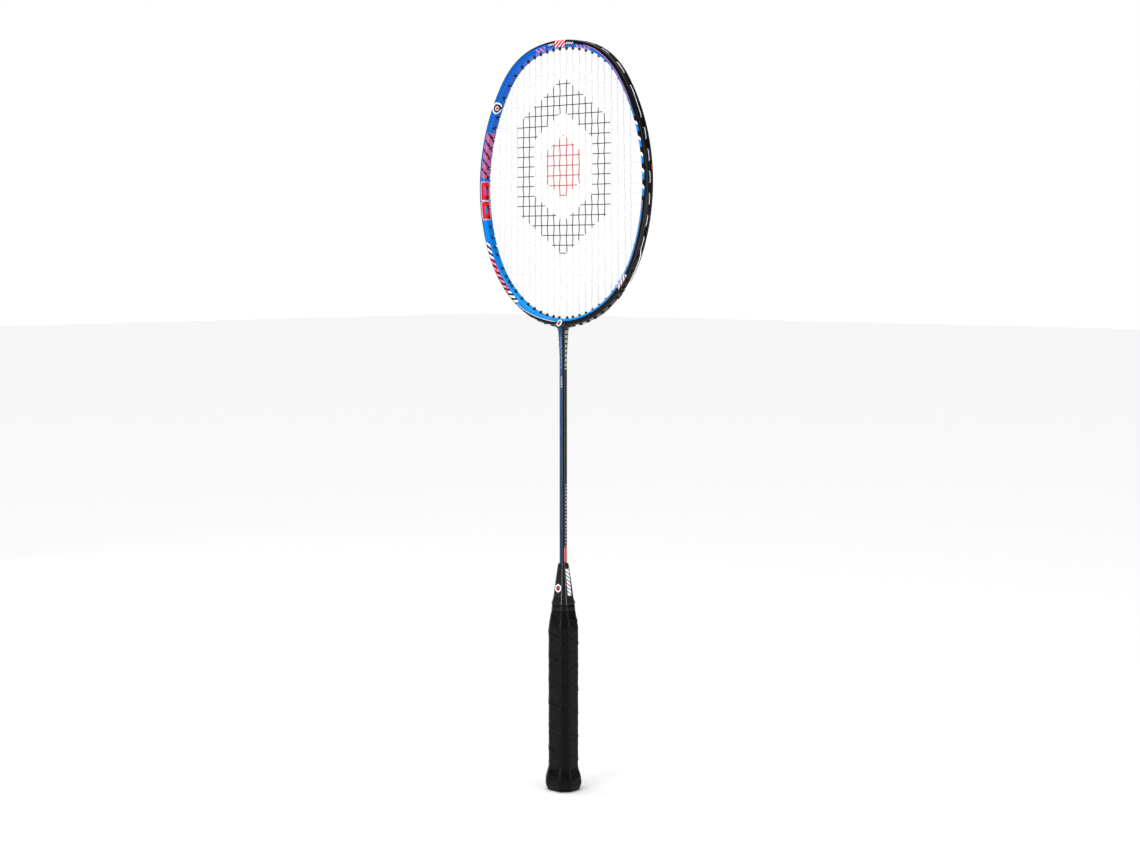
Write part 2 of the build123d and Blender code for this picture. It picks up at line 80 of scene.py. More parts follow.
def meshPiece(name, points, polys, material, uvs=None, sharp=None):
    # polys is a list of n x 3 or n x 4 arrays; faces are turned outwards as one closed skin
    points = np.asarray(points, dtype=np.float64).reshape(-1, 3)
    if signedVolume(points, polys) < 0:
        polys = [faces[:, ::-1] for faces in polys]
        uvs = None if uvs is None else [layer[:, ::-1] for layer in uvs]
    sizes = np.concatenate([np.full(len(faces), faces.shape[1]) for faces in polys])
    loops = np.concatenate([faces.ravel() for faces in polys])
    mesh = bpy.data.meshes.new(name)
    mesh.vertices.add(len(points))
    mesh.vertices.foreach_set("co", points.astype(np.float32).ravel())
    mesh.loops.add(len(loops))
    mesh.loops.foreach_set("vertex_index", loops.astype(np.int32))
    mesh.polygons.add(len(sizes))
    starts = np.concatenate([[0], np.cumsum(sizes)[:-1]])
    mesh.polygons.foreach_set("loop_start", starts.astype(np.int32))
    mesh.update(calc_edges=True)
    mesh.polygons.foreach_set("use_smooth", np.ones(len(sizes), dtype=bool))
    if uvs is not None:
        layer = mesh.uv_layers.new(name="skin")
        layer.data.foreach_set("uv", np.concatenate([part.ravel() for part in uvs]).astype(np.float32))
    mesh.validate()
    if sharp is not None:
        mesh.set_sharp_from_angle(angle=math.radians(sharp))
    piece = bpy.data.objects.new(name, mesh)
    scene.collection.objects.link(piece)
    mesh.materials.append(material)
    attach(piece, "root")
    return piece


def stackedRings(name, rings, material, sharp=None, uvs=None):
    # rings is rows x columns x 3, closed round each row and from the last row back to the first
    quads, loops = gridPatch(rings, wrapRows=True, uvs=uvs)
    return meshPiece(name, rings, [quads], material, None if loops is None else [loops], sharp)


def cappedRings(name, rings, material, sharp=None, uvs=None):
    # rows of rings with a fan to a centre point at each end
    rows, columns = rings.shape[:2]
    quads, loops = gridPatch(rings, uvs=uvs)
    centres = np.stack([rings[0].mean(axis=0), rings[-1].mean(axis=0)])
    points = np.concatenate([rings.reshape(-1, 3), centres])
    low = capFan(np.arange(columns), rows * columns, False)
    high = capFan(np.arange(columns) + (rows - 1) * columns, rows * columns + 1, True)
    layers = None
    if uvs is not None:
        ends = [np.stack([uvs[row, :columns], uvs[row, 1:], uvs[row, :columns]], axis=1) for row in (0, -1)]
        layers = [loops, ends[0], ends[1]]
    return meshPiece(name, points, [quads, low, high], material, layers, sharp)


def smooth(value, low, high):
    # 0 under low, 1 over high, and 3t2 - 2t3 between
    t = np.clip((np.asarray(value, dtype=float) - low) / (high - low), 0, 1)
    return t * t * (3 - 2 * t)


# material helpers: each returns a socket

def makeNode(tree, kind, **settings):
    node = tree.nodes.new(kind)
    for key, value in settings.items():
        setattr(node, key, value)
    return node


def feed(tree, socket, value):
    if isinstance(value, bpy.types.NodeSocket):
        tree.links.new(value, socket)
    else:
        socket.default_value = value


def maths(tree, operation, *values):
    node = makeNode(tree, "ShaderNodeMath", operation=operation)
    for socket, value in zip(node.inputs, values):
        feed(tree, socket, value)
    return node.outputs[0]


def rescale(tree, value, low, high, start=0.0, end=1.0, curve="SMOOTHSTEP"):
    node = makeNode(tree, "ShaderNodeMapRange", interpolation_type=curve)
    for socket, given in zip(node.inputs, (value, low, high, start, end)):
        feed(tree, socket, given)
    return node.outputs[0]


def band(tree, value, low, high, soft):
    # 1 where value lies from low to high, with soft edges
    rise = rescale(tree, value, low - soft, low + soft)
    fall = rescale(tree, value, high - soft, high + soft, 1.0, 0.0)
    return maths(tree, "MULTIPLY", rise, fall)


def both(tree, *masks):
    result = masks[0]
    for mask in masks[1:]:
        result = maths(tree, "MULTIPLY", result, mask)
    return result


def either(tree, *masks):
    result = masks[0]
    for mask in masks[1:]:
        result = maths(tree, "MAXIMUM", result, mask)
    return result


def blend(tree, factor, under, over):
    node = makeNode(tree, "ShaderNodeMix", data_type="RGBA")
    feed(tree, node.inputs[0], factor)
    feed(tree, node.inputs[6], under)
    feed(tree, node.inputs[7], over)
    return node.outputs[2]


def noiseOf(tree, vector, scale, detail=3.0, roughness=0.5):
    node = makeNode(tree, "ShaderNodeTexNoise")
    feed(tree, node.inputs["Vector"], vector)
    feed(tree, node.inputs["Scale"], scale)
    node.inputs["Detail"].default_value = detail
    node.inputs["Roughness"].default_value = roughness
    return node.outputs["Fac"]


def objectPlace(tree):
    return makeNode(tree, "ShaderNodeTexCoord").outputs["Object"]


def parts(tree, vector):
    node = makeNode(tree, "ShaderNodeSeparateXYZ")
    feed(tree, node.inputs[0], vector)
    return node.outputs


def grey(value, alpha=1.0):
    return (value, value, value, alpha)


def newGroup(name, inputs, outputs):
    group = bpy.data.node_groups.new(name, "ShaderNodeTree")
    for label, kind, default in inputs:
        socket = group.interface.new_socket(name=label, in_out="INPUT", socket_type=kind)
        if default is not None:
            socket.default_value = default
    for label, kind in outputs:
        group.interface.new_socket(name=label, in_out="OUTPUT", socket_type=kind)
    return group, makeNode(group, "NodeGroupInput"), makeNode(group, "NodeGroupOutput")


def useGroup(tree, group, **values):
    node = makeNode(tree, "ShaderNodeGroup")
    node.node_tree = group
    for key, value in values.items():
        feed(tree, node.inputs[key], value)
    return node


def makeFinishGroup():
    # mottle for the roughness and a fine grain height, used by every paint, plastic and tape
    group, given, result = newGroup(
        "surfaceFinish",
        [("Vector", "NodeSocketVector", None), ("Scale", "NodeSocketFloat", 900.0),
         ("Roughness", "NodeSocketFloat", 0.3), ("Spread", "NodeSocketFloat", 0.08)],
        [("Roughness", "NodeSocketFloat"), ("Height", "NodeSocketFloat"), ("Mottle", "NodeSocketFloat")],
    )
    coarse = noiseOf(group, given.outputs["Vector"], 70.0, 4.0)
    fine = noiseOf(group, given.outputs["Vector"], given.outputs["Scale"], 2.0)
    shift = maths(group, "MULTIPLY", maths(group, "SUBTRACT", coarse, 0.5), given.outputs["Spread"])
    rough = maths(group, "ADD", given.outputs["Roughness"], shift)
    feed(group, result.inputs["Roughness"], rough)
    feed(group, result.inputs["Height"], fine)
    feed(group, result.inputs["Mottle"], coarse)
    return group


def makeHexGroup():
    # how far a point of a plane is from the middle of a pointy-top hexagon, as its flat-to-flat half
    group, given, result = newGroup(
        "hexDistance",
        [("X", "NodeSocketFloat", 0.0), ("Y", "NodeSocketFloat", 0.0)],
        [("Distance", "NodeSocketFloat")],
    )
    x = maths(group, "ABSOLUTE", given.outputs["X"])
    y = maths(group, "ABSOLUTE", given.outputs["Y"])
    slant = maths(group, "ADD", maths(group, "MULTIPLY", x, 0.5), maths(group, "MULTIPLY", y, 0.8660254))
    feed(group, result.inputs["Distance"], maths(group, "MAXIMUM", x, slant))
    return group


finishGroup = makeFinishGroup()
hexGroup = makeHexGroup()


def newMaterial(name):
    material = bpy.data.materials.new(name)
    material.use_nodes = True
    tree = material.node_tree
    return material, tree, tree.nodes["Principled BSDF"]


def addBump(tree, shader, height, strength, distance):
    node = makeNode(tree, "ShaderNodeBump")
    node.inputs["Strength"].default_value = strength
    node.inputs["Distance"].default_value = distance
    feed(tree, node.inputs["Height"], height)
    feed(tree, shader.inputs["Normal"], node.outputs["Normal"])


def plainFinish(name, colour, roughness, spread, scale, bump, coat=0.0, metallic=0.0, mottle=0.15, gleam=0.3):
    material, tree, shader = newMaterial(name)
    finish = useGroup(
        tree, finishGroup, Vector=objectPlace(tree), Scale=scale, Roughness=roughness, Spread=spread
    )
    darker = tuple(channel * (1 - mottle) for channel in colour[:3]) + (1.0,)
    feed(tree, shader.inputs["Base Color"], blend(tree, finish.outputs["Mottle"], darker, colour))
    feed(tree, shader.inputs["Roughness"], finish.outputs["Roughness"])
    shader.inputs["Metallic"].default_value = metallic
    shader.inputs["Specular IOR Level"].default_value = gleam
    shader.inputs["Coat Weight"].default_value = coat
    shader.inputs["Coat Roughness"].default_value = 0.04
    addBump(tree, shader, finish.outputs["Height"], bump, 0.0001)
    return material


paint = {
    "deep": (0.0, 0.092, 0.50, 1.0),
    "azure": (0.0, 0.23, 0.78, 1.0),
    # a lighter blue used only for painted light and a painted highlight on the head
    "litBlue": (0.0, 0.33, 0.82, 1.0),
    "black": (0.0028, 0.0030, 0.0042, 1.0),
    "white": (0.86, 0.88, 0.92, 1.0),
    "pink": (0.82, 0.26, 0.42, 1.0),
    "lilac": (0.36, 0.13, 0.42, 1.0),
    "red": (0.68, 0.012, 0.02, 1.0),
    "silver": (0.42, 0.44, 0.5, 1.0),
}


# head outline: five tangent arcs a side, as radius and turn in degrees from the top

head = {
    "arcs": ((0.114466, 15.0), (0.069675, 40.5), (0.163676, 56.0), (0.102891, 27.2), (0.088769, 41.3)),
    "width": 0.0064,
    "depth": 0.0090,
    "corner": 0.0015,
    "grooveWidth": 0.0038,
    "grooveDepth": 0.0016,
    "grooveEnd": 111.946,
    "stations": 880,
    "cornerSteps": 7,
}
tubeHalf = head["width"] / 2
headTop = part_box("head_frame")[1].z
arcRadius = np.array([radius for radius, _ in head["arcs"]])
arcEnd = np.cumsum([turn for _, turn in head["arcs"]])
arcStart = arcEnd - np.array([turn for _, turn in head["arcs"]])
startSin, startCos = np.sin(np.radians(arcStart)), np.cos(np.radians(arcStart))
endSin, endCos = np.sin(np.radians(arcEnd)), np.cos(np.radians(arcEnd))
jointX = np.concatenate([[0], np.cumsum(arcRadius * (endSin - startSin))[:-1]])
jointZ = headTop - tubeHalf + np.concatenate([[0], np.cumsum(arcRadius * (endCos - startCos))[:-1]])
centreX, centreZ = jointX - arcRadius * startSin, jointZ - arcRadius * startCos
arcLengthEnd = np.cumsum(arcRadius * np.radians(arcEnd - arcStart))
halfLoop = float(arcLengthEnd[-1])


def station(turn, offset=0.0):
    # the centreline's point at each turn, moved outwards
    turn = np.asarray(turn, dtype=float)
    arc = np.searchsorted(arcEnd, np.minimum(turn, 179.9999))
    reach = arcRadius[arc] + offset
    return centreX[arc] + reach * np.sin(np.radians(turn)), centreZ[arc] + reach * np.cos(np.radians(turn))


def turnAt(length):
    return np.interp(length, np.concatenate([[0], arcLengthEnd]), np.concatenate([[0], arcEnd]))


def lengthAt(turn):
    return np.interp(turn, np.concatenate([[0], arcEnd]), np.concatenate([[0], arcLengthEnd]))


# Skin distances of the tube's edges, for the paint: where the outer wall ends, the face starts and ends,
# and the inner wall starts and has its middle
cornerRun = head["corner"] * math.pi / 2
outerEnd = head["depth"] / 2 - head["corner"]
faceStart = outerEnd + cornerRun
faceEnd = faceStart + head["width"] - 2 * head["corner"]
innerStart = faceEnd + cornerRun
innerMiddle = innerStart + outerEnd
faceMiddle = (faceStart + faceEnd) / 2


def headSection():
    # one turn round the tube from the middle of the outer wall, as rows of
    # out, depth, share of the groove and skin distance
    half, deep, corner = tubeHalf, head["depth"] / 2, head["corner"]
    lip = head["grooveWidth"] / 2
    rows = [(half, 0.0, 1.0), (half, 0.55 * lip, 1.0), (half, 0.86 * lip, 1.0), (half, 0.97 * lip, 0.86)]
    rows += [(half, lip, 0.5), (half, 1.02 * lip, 0.1), (half, 1.1 * lip, 0.0), (half, 1.35 * lip, 0.0)]
    steps = np.linspace(0, math.pi / 2, head["cornerSteps"])
    rows += [(half - corner + corner * math.cos(a), deep - corner + corner * math.sin(a), 0.0) for a in steps]
    rows += [(out, deep, 0.0) for out in (0.0011, 0.0, -0.0011)]
    rows += [
        (-half + corner - corner * math.sin(a), deep - corner + corner * math.cos(a), 0.0) for a in steps
    ]
    rows += [(-half, 0.66 * (deep - corner), 0.0), (-half, 0.33 * (deep - corner), 0.0), (-half, 0.0, 0.0)]
    side = np.array(rows) * np.array([1, -1, 1])
    gone = np.concatenate([[0], np.cumsum(np.hypot(*np.diff(side[:, :2], axis=0).T))])
    back = side[-2:0:-1] * np.array([1, -1, 1])
    skin = np.concatenate([gone, 2 * gone[-1] - gone[-2:0:-1]])
    return np.column_stack([np.concatenate([side, back]), skin])


def makeHead(material):
    # stations round the loop by section: outwards along the turned normal, depth along Y
    section = headSection()
    along = np.linspace(-halfLoop, halfLoop, head["stations"], endpoint=False)
    turn = turnAt(np.abs(along))
    side = np.where(along < 0, -1.0, 1.0)
    share = 1 - smooth(
        lengthAt(turn), lengthAt(head["grooveEnd"]) - 0.0006, lengthAt(head["grooveEnd"]) + 0.0006
    )
    out = section[None, :, 0] - head["grooveDepth"] * section[None, :, 2] * share[:, None]
    x, z = station(np.repeat(turn[:, None], len(section), axis=1), out)
    y = np.repeat(section[None, :, 1], len(along), axis=0)
    rings = np.stack([x * side[:, None], y, z], axis=-1)
    reach = np.concatenate([along, [halfLoop]])
    skin = np.concatenate([section[:, 3], [2 * innerMiddle]])
    uvs = np.stack(np.meshgrid(reach, skin, indexing="ij"), axis=-1)
    piece = stackedRings("headSkin", rings, material, uvs=uvs)
    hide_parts("head_frame")
    return piece


def throatEmblem(tree, place, colour):
    # a white hexagon ring round a small red hexagon, over the tube and the sleeve alike
    high = maths(tree, "SUBTRACT", place[2], float(station(180.0)[1]) - 0.0004)
    distance = useGroup(tree, hexGroup, X=place[0], Y=high).outputs["Distance"]
    colour = blend(tree, band(tree, distance, 0.0017, 0.0027, 0.0001), colour, paint["white"])
    return blend(tree, rescale(tree, distance, 0.0008, 0.0010, 1.0, 0.0), colour, paint["red"])


def headPaintMaterial():
    material, tree, shader = newMaterial("headPaint")
    uv = parts(tree, makeNode(tree, "ShaderNodeUVMap", uv_map="skin").outputs[0])
    place = parts(tree, objectPlace(tree))
    soft = 0.00012
    # the back face carries the front's paint turned half round the shaft
    # and the whole inner wall goes with the front
    front = maths(tree, "LESS_THAN", uv[1], innerMiddle + outerEnd)
    turned = maths(tree, "SUBTRACT", maths(tree, "MULTIPLY", front, 2.0), 1.0)
    along = maths(tree, "MULTIPLY", uv[0], turned)
    around = maths(tree, "SUBTRACT", 2 * innerMiddle, uv[1])
    across = maths(tree, "ADD", maths(tree, "MULTIPLY", uv[1], front),
                   maths(tree, "MULTIPLY", around, maths(tree, "SUBTRACT", 1.0, front)))
    run = maths(tree, "ABSOLUTE", along)
    right = rescale(tree, along, -0.004, 0.004)
    # the black edge is thin on the upper left, widens towards the throat, and fills most of the right face
    leftEdge = rescale(tree, run, 0.286, 0.338, faceStart + 0.0003, faceEnd - 0.0008)
    rightEdge = rescale(tree, run, 0.030, 0.075, faceMiddle + 0.0002, faceEnd - 0.0004)
    edge = maths(tree, "ADD", maths(tree, "MULTIPLY", rightEdge, right),
                 maths(tree, "MULTIPLY", leftEdge, maths(tree, "SUBTRACT", 1.0, right)))
    past = maths(tree, "SUBTRACT", across, edge)
    blueMask = rescale(tree, past, -soft, soft)
    height = rescale(tree, place[2], 0.44, 0.64)
    blue = blend(tree, height, paint["azure"], paint["deep"])
    # painted light: low on the loop, where the inner wall faces up, it is painted a lighter blue
    lower = rescale(tree, place[2], 0.44, 0.50, 1.0, 0.0)
    blue = blend(
        tree, maths(tree, "MULTIPLY", lower, rescale(tree, across, faceEnd, innerMiddle)), blue, paint["litBlue"]
    )
    # painted highlight: a lighter blue line just inside the edge of the blue, stronger further down the loop
    paintedHighlight = maths(
        tree, "MULTIPLY", band(tree, past, 0.0001, 0.0006, 0.0002), rescale(tree, run, 0.02, 0.18, 0.35, 0.8)
    )
    blue = blend(tree, paintedHighlight, blue, paint["litBlue"])
    colour = blend(tree, blueMask, paint["black"], blue)
    # a pinstripe beside the edge of the blue: pink at the upper right, pale on the lower left
    stripe = band(tree, past, -0.00062, -0.00022, soft)
    upper = both(tree, right, band(tree, run, 0.030, 0.105, 0.006))
    lowerLeft = both(tree, maths(tree, "SUBTRACT", 1.0, right), band(tree, run, 0.230, 0.346, 0.003))
    colour = blend(tree, both(tree, stripe, upper), colour, paint["pink"])
    colour = blend(tree, both(tree, stripe, lowerLeft), colour, paint["white"])
    fade = both(tree, stripe, right, band(tree, run, 0.105, 0.300, 0.02))
    colour = blend(tree, maths(tree, "MULTIPLY", fade, 0.5), colour, paint["silver"])

    def patch(low, high, start, end, edgeSoft=0.0002):
        # a painted rectangle: from low to high along the loop, start to end across the skin
        return both(tree, band(tree, along, low, high, edgeSoft), band(tree, across, start, end, edgeSoft))

    def slanted(pitch, share, lean, source=None):
        # repeated slanted bars along the loop
        moved = maths(tree, "ADD", along if source is None else source, maths(tree, "MULTIPLY", across, lean))
        turnNow = maths(tree, "FRACT", maths(tree, "DIVIDE", moved, pitch))
        return band(tree, turnNow, 0.5 - share / 2, 0.5 + share / 2, 0.04)

    # block of chevrons at the top
    sash = patch(-0.0150, 0.0170, outerEnd, faceMiddle + 0.0014)
    colour = blend(tree, sash, colour, paint["black"])
    top = patch(-0.0062, 0.0062, outerEnd * 0.7, faceEnd + 0.0012)
    colour = blend(tree, top, colour, paint["red"])
    colour = blend(tree, both(tree, top, slanted(0.0042, 0.34, 1.2)), colour, paint["white"])
    zigzag = both(tree, either(tree, patch(-0.0142, -0.0070, faceMiddle - 0.0010, faceMiddle + 0.0008),
                               patch(0.0070, 0.0162, faceMiddle - 0.0010, faceMiddle + 0.0008)),
                  slanted(0.0022, 0.5, 0.9))
    colour = blend(tree, zigzag, colour, paint["white"])
    # lilac and pink bars on the shoulders
    shoulder = either(
        tree,
        patch(-0.030, -0.018, faceMiddle, innerStart),
        patch(0.019, 0.036, faceMiddle + 0.001, innerStart),
    )
    colour = blend(tree, both(tree, shoulder, slanted(0.0048, 0.62, -1.0)), colour, paint["lilac"])
    colour = blend(tree, both(tree, shoulder, slanted(0.0048, 0.22, -1.0)), colour, paint["pink"])
    # ringed disc on the upper left
    discAcross = maths(tree, "SUBTRACT", across, faceEnd + 0.0014)
    discAlong = maths(tree, "ADD", along, 0.1020)
    disc = maths(
        tree,
        "SQRT",
        maths(tree, "ADD", maths(tree, "POWER", discAcross, 2.0), maths(tree, "POWER", discAlong, 2.0)),
    )
    colour = blend(tree, rescale(tree, disc, 0.0054, 0.0057, 1.0, 0.0), colour, paint["white"])
    colour = blend(tree, band(tree, disc, 0.0021, 0.0041, 0.0002), colour, paint["black"])
    colour = blend(tree, rescale(tree, disc, 0.0013, 0.0016, 1.0, 0.0), colour, paint["red"])
    # pink band with black bars on the left, then two outlined red blocks
    pinkBand = patch(-0.1690, -0.1260, faceMiddle - 0.0004, innerMiddle + outerEnd)
    colour = blend(tree, pinkBand, colour, (0.55, 0.12, 0.30, 1.0))
    colour = blend(tree, both(tree, pinkBand, slanted(0.0088, 0.30, 0.9)), colour, paint["black"])
    colour = blend(tree, both(tree, pinkBand, slanted(0.0088, 0.10, -1.1)), colour, paint["lilac"])

    def redBlock(centre, halfLong):
        # a rounded frame of red with a pale outline and a blue middle, worked out as a box distance
        dx = maths(
            tree,
            "SUBTRACT",
            maths(tree, "ABSOLUTE", maths(tree, "SUBTRACT", along, centre)),
            halfLong - 0.0015,
        )
        dy = maths(
            tree,
            "SUBTRACT",
            maths(tree, "ABSOLUTE", maths(tree, "SUBTRACT", across, faceEnd + 0.0026)),
            0.0032,
        )
        dx, dy = maths(tree, "MAXIMUM", dx, 0.0), maths(tree, "MAXIMUM", dy, 0.0)
        return maths(
            tree, "SQRT", maths(tree, "ADD", maths(tree, "POWER", dx, 2.0), maths(tree, "POWER", dy, 2.0))
        )

    for centre in (-0.1805, -0.1985):
        distance = redBlock(centre, 0.0082)
        colour = blend(
            tree, rescale(tree, distance, 0.0022, 0.0024, 1.0, 0.0), colour, (0.62, 0.55, 0.80, 1.0)
        )
        colour = blend(tree, rescale(tree, distance, 0.0015, 0.0017, 1.0, 0.0), colour, paint["red"])
        core = patch(centre - 0.0036, centre + 0.0036, faceEnd + 0.0016, faceEnd + 0.0036)
        colour = blend(tree, core, colour, paint["azure"])
    # lower left: white, black and pink bars on the outer part of the face
    lowBand = patch(-0.2960, -0.2280, outerEnd, faceEnd + 0.0006)
    bars = both(
        tree, slanted(0.0064, 0.50, 1.3), band(tree, across, faceStart - 0.0002, faceEnd + 0.0003, soft)
    )
    pinkRun = band(tree, along, -0.281, -0.245, 0.0006)
    barColour = blend(tree, pinkRun, paint["white"], paint["pink"])
    colour = blend(tree, lowBand, colour, paint["black"])
    colour = blend(tree, both(tree, lowBand, bars), colour, barColour)
    colour = blend(tree, both(tree, lowBand, slanted(0.0113, 0.2, -1.4), pinkRun), colour, paint["red"])
    # right face: pale and azure blocks between the grommets, and a pale block lower down
    rightBlocks = patch(0.119, 0.193, faceMiddle, innerStart)
    colour = blend(tree, rightBlocks, colour, paint["black"])
    colour = blend(tree, both(tree, rightBlocks, slanted(0.0140, 0.60, 0.5)), colour, paint["azure"])
    colour = blend(tree, both(tree, rightBlocks, slanted(0.0140, 0.20, 0.9)), colour, paint["white"])
    paleBlock = patch(0.2600, 0.2750, faceStart, faceEnd)
    colour = blend(tree, both(tree, paleBlock, slanted(0.0042, 0.66, 1.0)), colour, (0.86, 0.62, 0.70, 1.0))
    # a small red mark on the outer wall at the right
    mark = patch(-0.1665, -0.1625, 0.0022, outerEnd + 0.0006)
    colour = blend(tree, mark, colour, paint["red"])
    colour = throatEmblem(tree, place, colour)
    feed(tree, shader.inputs["Base Color"], colour)
    finish = useGroup(tree, finishGroup, Vector=objectPlace(tree), Scale=2400.0, Roughness=0.20, Spread=0.06)
    feed(tree, shader.inputs["Roughness"], finish.outputs["Roughness"])
    shader.inputs["Specular IOR Level"].default_value = 0.16
    shader.inputs["Coat Weight"].default_value = 0.10
    shader.inputs["Coat Roughness"].default_value = 0.05
    addBump(tree, shader, finish.outputs["Height"], 0.04, 0.00005)
    return material


makeHead(headPaintMaterial())
print("head made")


# holes, as turn, lean and whether a main and a cross share it

bed = {
    "mainPairs": 11,
    "mainPitchTop": 0.0080,
    "mainPitchBottom": 0.0082,
    "crosses": 22,
    "crossPitch": 0.0092,
    "firstCross": 0.0263,
    "sharedWithin": 0.0044,
    "weave": 0.00037,
    "holeWeave": 0.00040,
    "stringRadius": 0.00039,
    "spacing": 0.00055,
    "sides": 8,
    "nub": 0.0022,
    "mouthGap": 0.0012,
    "straightWithin": 3.0,
    "throatHoleX": 0.00665,
    "lapSteps": 24,
    "pastHead": 0.0006,
    "tieInset": 0.0007,
    "knotInset": 0.0009,
    "easeReach": 0.004,
}
fineTurns = np.linspace(0, 180, 36001)
fineX, fineZ = station(fineTurns)
upperHalf, lowerHalf = fineTurns <= 90, fineTurns >= 90


def turnOfX(x, lower):
    if lower:
        return float(np.interp(-x, -fineX[lowerHalf], fineTurns[lowerHalf]))
    return float(np.interp(x, fineX[upperHalf], fineTurns[upperHalf]))


def turnOfZ(z):
    return float(np.interp(-z, -fineZ, fineTurns))


def findHoles():
    found = {}
    for pair in range(bed["mainPairs"]):
        found["top", pair] = (turnOfX((pair + 0.5) * bed["mainPitchTop"], False), 0.0)
        if pair:
            found["bottom", pair] = (turnOfX((pair + 0.5) * bed["mainPitchBottom"], True), 0.0)
    inner, outer = bed["mainPitchBottom"] / 2, bed["throatHoleX"]
    depth = tubeHalf + bed["nub"] + bed["mouthGap"]
    turn = turnOfX(inner + (outer - inner) * depth / (depth + tubeHalf), True)
    lean = 180 - math.degrees(math.atan2(outer - inner, depth + tubeHalf)) - turn
    found["bottom", 0] = (turn, lean)
    for index in range(bed["crosses"]):
        found["cross", index] = (turnOfZ(headTop - bed["firstCross"] - index * bed["crossPitch"]), 0.0)
    names = sorted(found, key=lambda name: found[name][0])
    shared = set()
    for name, other in zip(names, names[1:]):
        gap = lengthAt(found[other][0]) - lengthAt(found[name][0])
        if gap < bed["sharedWithin"] and name not in shared:
            found[name] = found[other] = ((found[name][0] + found[other][0]) / 2, 0.0)
            shared.update((name, other))
    for name, (turn, lean) in found.items():
        line = {"top": 0.0, "bottom": 180.0, "cross": 90.0}[name[0]]
        if name not in shared and name != ("bottom", 0) and abs(line - turn) < bed["straightWithin"]:
            found[name] = (turn, line - turn)
    return found, shared


holes, sharedHoles = findHoles()
places = sorted(set(holes.values()))


def freeHole(hole, kinds, step):
    used = {place for name, place in holes.items() if name[0] in kinds}
    while hole in used:
        hole = places[places.index(hole) + step]
    return hole


mainTie = freeHole(holes["bottom", bed["mainPairs"] - 1], ("top", "bottom"), -1)
firstCrossTie = freeHole(holes["cross", 0], ("cross",), -1)
lastCrossTie = freeHole(holes["cross", bed["crosses"] - 1], ("cross",), 1)

grommetSizes = {
    "barrel": 0.0012,
    "bore": 0.0008,
    "head": 0.0017,
    "recessedHead": 0.0005,
    "proudHead": 0.0011,
    "clearance": 0.00008,
    "stringGap": 0.00012,
    "sides": 20,
}


def seatOf(hole):
    tilt = grommetSizes["head"] * math.tan(math.radians(abs(hole[1])))
    if hole[0] < head["grooveEnd"]:
        return tubeHalf - head["grooveDepth"] + grommetSizes["clearance"] + tilt, grommetSizes["recessedHead"]
    return tubeHalf + grommetSizes["clearance"] + tilt, grommetSizes["proudHead"]


def exitOf(hole):
    return sum(seatOf(hole)) + grommetSizes["stringGap"] + bed["stringRadius"]


def alongHole(hole, side, reach, y=0.0):
    x, z = station(hole[0])
    direction = math.radians(hole[0] + hole[1])
    return np.array(
        [side * (float(x) + reach * math.sin(direction)), y, float(z) + reach * math.cos(direction)]
    )


# grommets: a revolved profile with a rounded nub, carried to every hole of its node

def grommetProfile(hole):
    seat, thick = seatOf(hole)
    tip = -(tubeHalf + bed["nub"])
    bore, barrel, rim = grommetSizes["bore"], grommetSizes["barrel"], grommetSizes["head"]
    top, soft = seat + thick, 0.00018
    return np.array([
        (bore, tip + soft), (bore + soft, tip), (barrel - soft, tip), (barrel, tip + soft),
        (barrel, -tubeHalf - 0.0006), (barrel + 0.0002, -tubeHalf - 0.0001),
        (barrel, -tubeHalf + 0.0004), (barrel, seat),
        (rim - soft / 2, seat), (rim, seat + soft / 2), (rim, top - soft), (rim - soft, top),
        (bore + 0.00045, top), (bore + 0.00015, top - 0.00015), (bore, top - 0.00045),
    ])


def makeGrommets(material):
    groups = {}
    tied = {(mainTie, -1), (mainTie, 1), (firstCrossTie, -1), (lastCrossTie, -1)}
    done = set()
    for name, hole in sorted(holes.items()):
        for side in (-1, 1):
            if (hole, side) in done:
                continue
            done.add((hole, side))
            node = "grommets_" + name[0]
            if name[0] == "cross":
                node = "grommets_right" if side > 0 else "grommets_left"
            if name == ("bottom", 0):
                node = "grommets_throat"
            if name in sharedHoles:
                node = "grommets_shared"
            if (hole, side) in tied:
                node = "grommets_tie_off"
            groups.setdefault(node, []).append((hole, side))
    angle = np.linspace(0, 2 * math.pi, grommetSizes["sides"], endpoint=False)
    for node, members in groups.items():
        points, quads, first = [], [], 0
        for hole, side in members:
            profile = grommetProfile(hole)
            direction = math.radians(hole[0] + hole[1])
            axis = np.array([side * math.sin(direction), 0.0, math.cos(direction)])
            across = np.array([axis[2], 0.0, -axis[0]])
            ring = np.cos(angle)[:, None] * across + np.sin(angle)[:, None] * np.array([0.0, 1.0, 0.0])
            rings = profile[:, None, :1] * ring[None] + profile[:, None, 1:] * axis
            rings = rings + alongHole(hole, side, 0.0)
            faces, _ = gridPatch(rings, wrapRows=True, first=first)
            points.append(rings.reshape(-1, 3))
            quads.append(faces)
            first += rings.shape[0] * rings.shape[1]
        piece = meshPiece(
            node.replace("grommets_", "eyelets_"),
            np.concatenate(points),
            [np.concatenate(quads)],
            material,
            sharp=50,
        )
        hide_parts(node)


makeGrommets(plainFinish("grommetNylon", (0.004, 0.004, 0.005, 1.0), 0.38, 0.1, 3000.0, 0.1))
print("grommets made")


# strings: one line for the mains and one for the crosses. Their depths swing on an even grid, while
# the lines run straight between their own holes, so towards the sides they run into each other.

mainSide = [-1] * bed["mainPairs"] + [1] * bed["mainPairs"]
mainPair = list(reversed(range(bed["mainPairs"]))) + list(range(bed["mainPairs"]))
firstCrossZ = headTop - bed["firstCross"]


def pitchAt(z):
    # the mains fan out a little from the top to the bottom of the bed
    low, high = float(station(180.0)[1]), headTop
    return np.interp(z, [low, high], [bed["mainPitchBottom"], bed["mainPitchTop"]])


def mainDepth(z, index):
    return bed["weave"] * np.cos(math.pi * (firstCrossZ - z) / bed["crossPitch"] + math.pi * index)


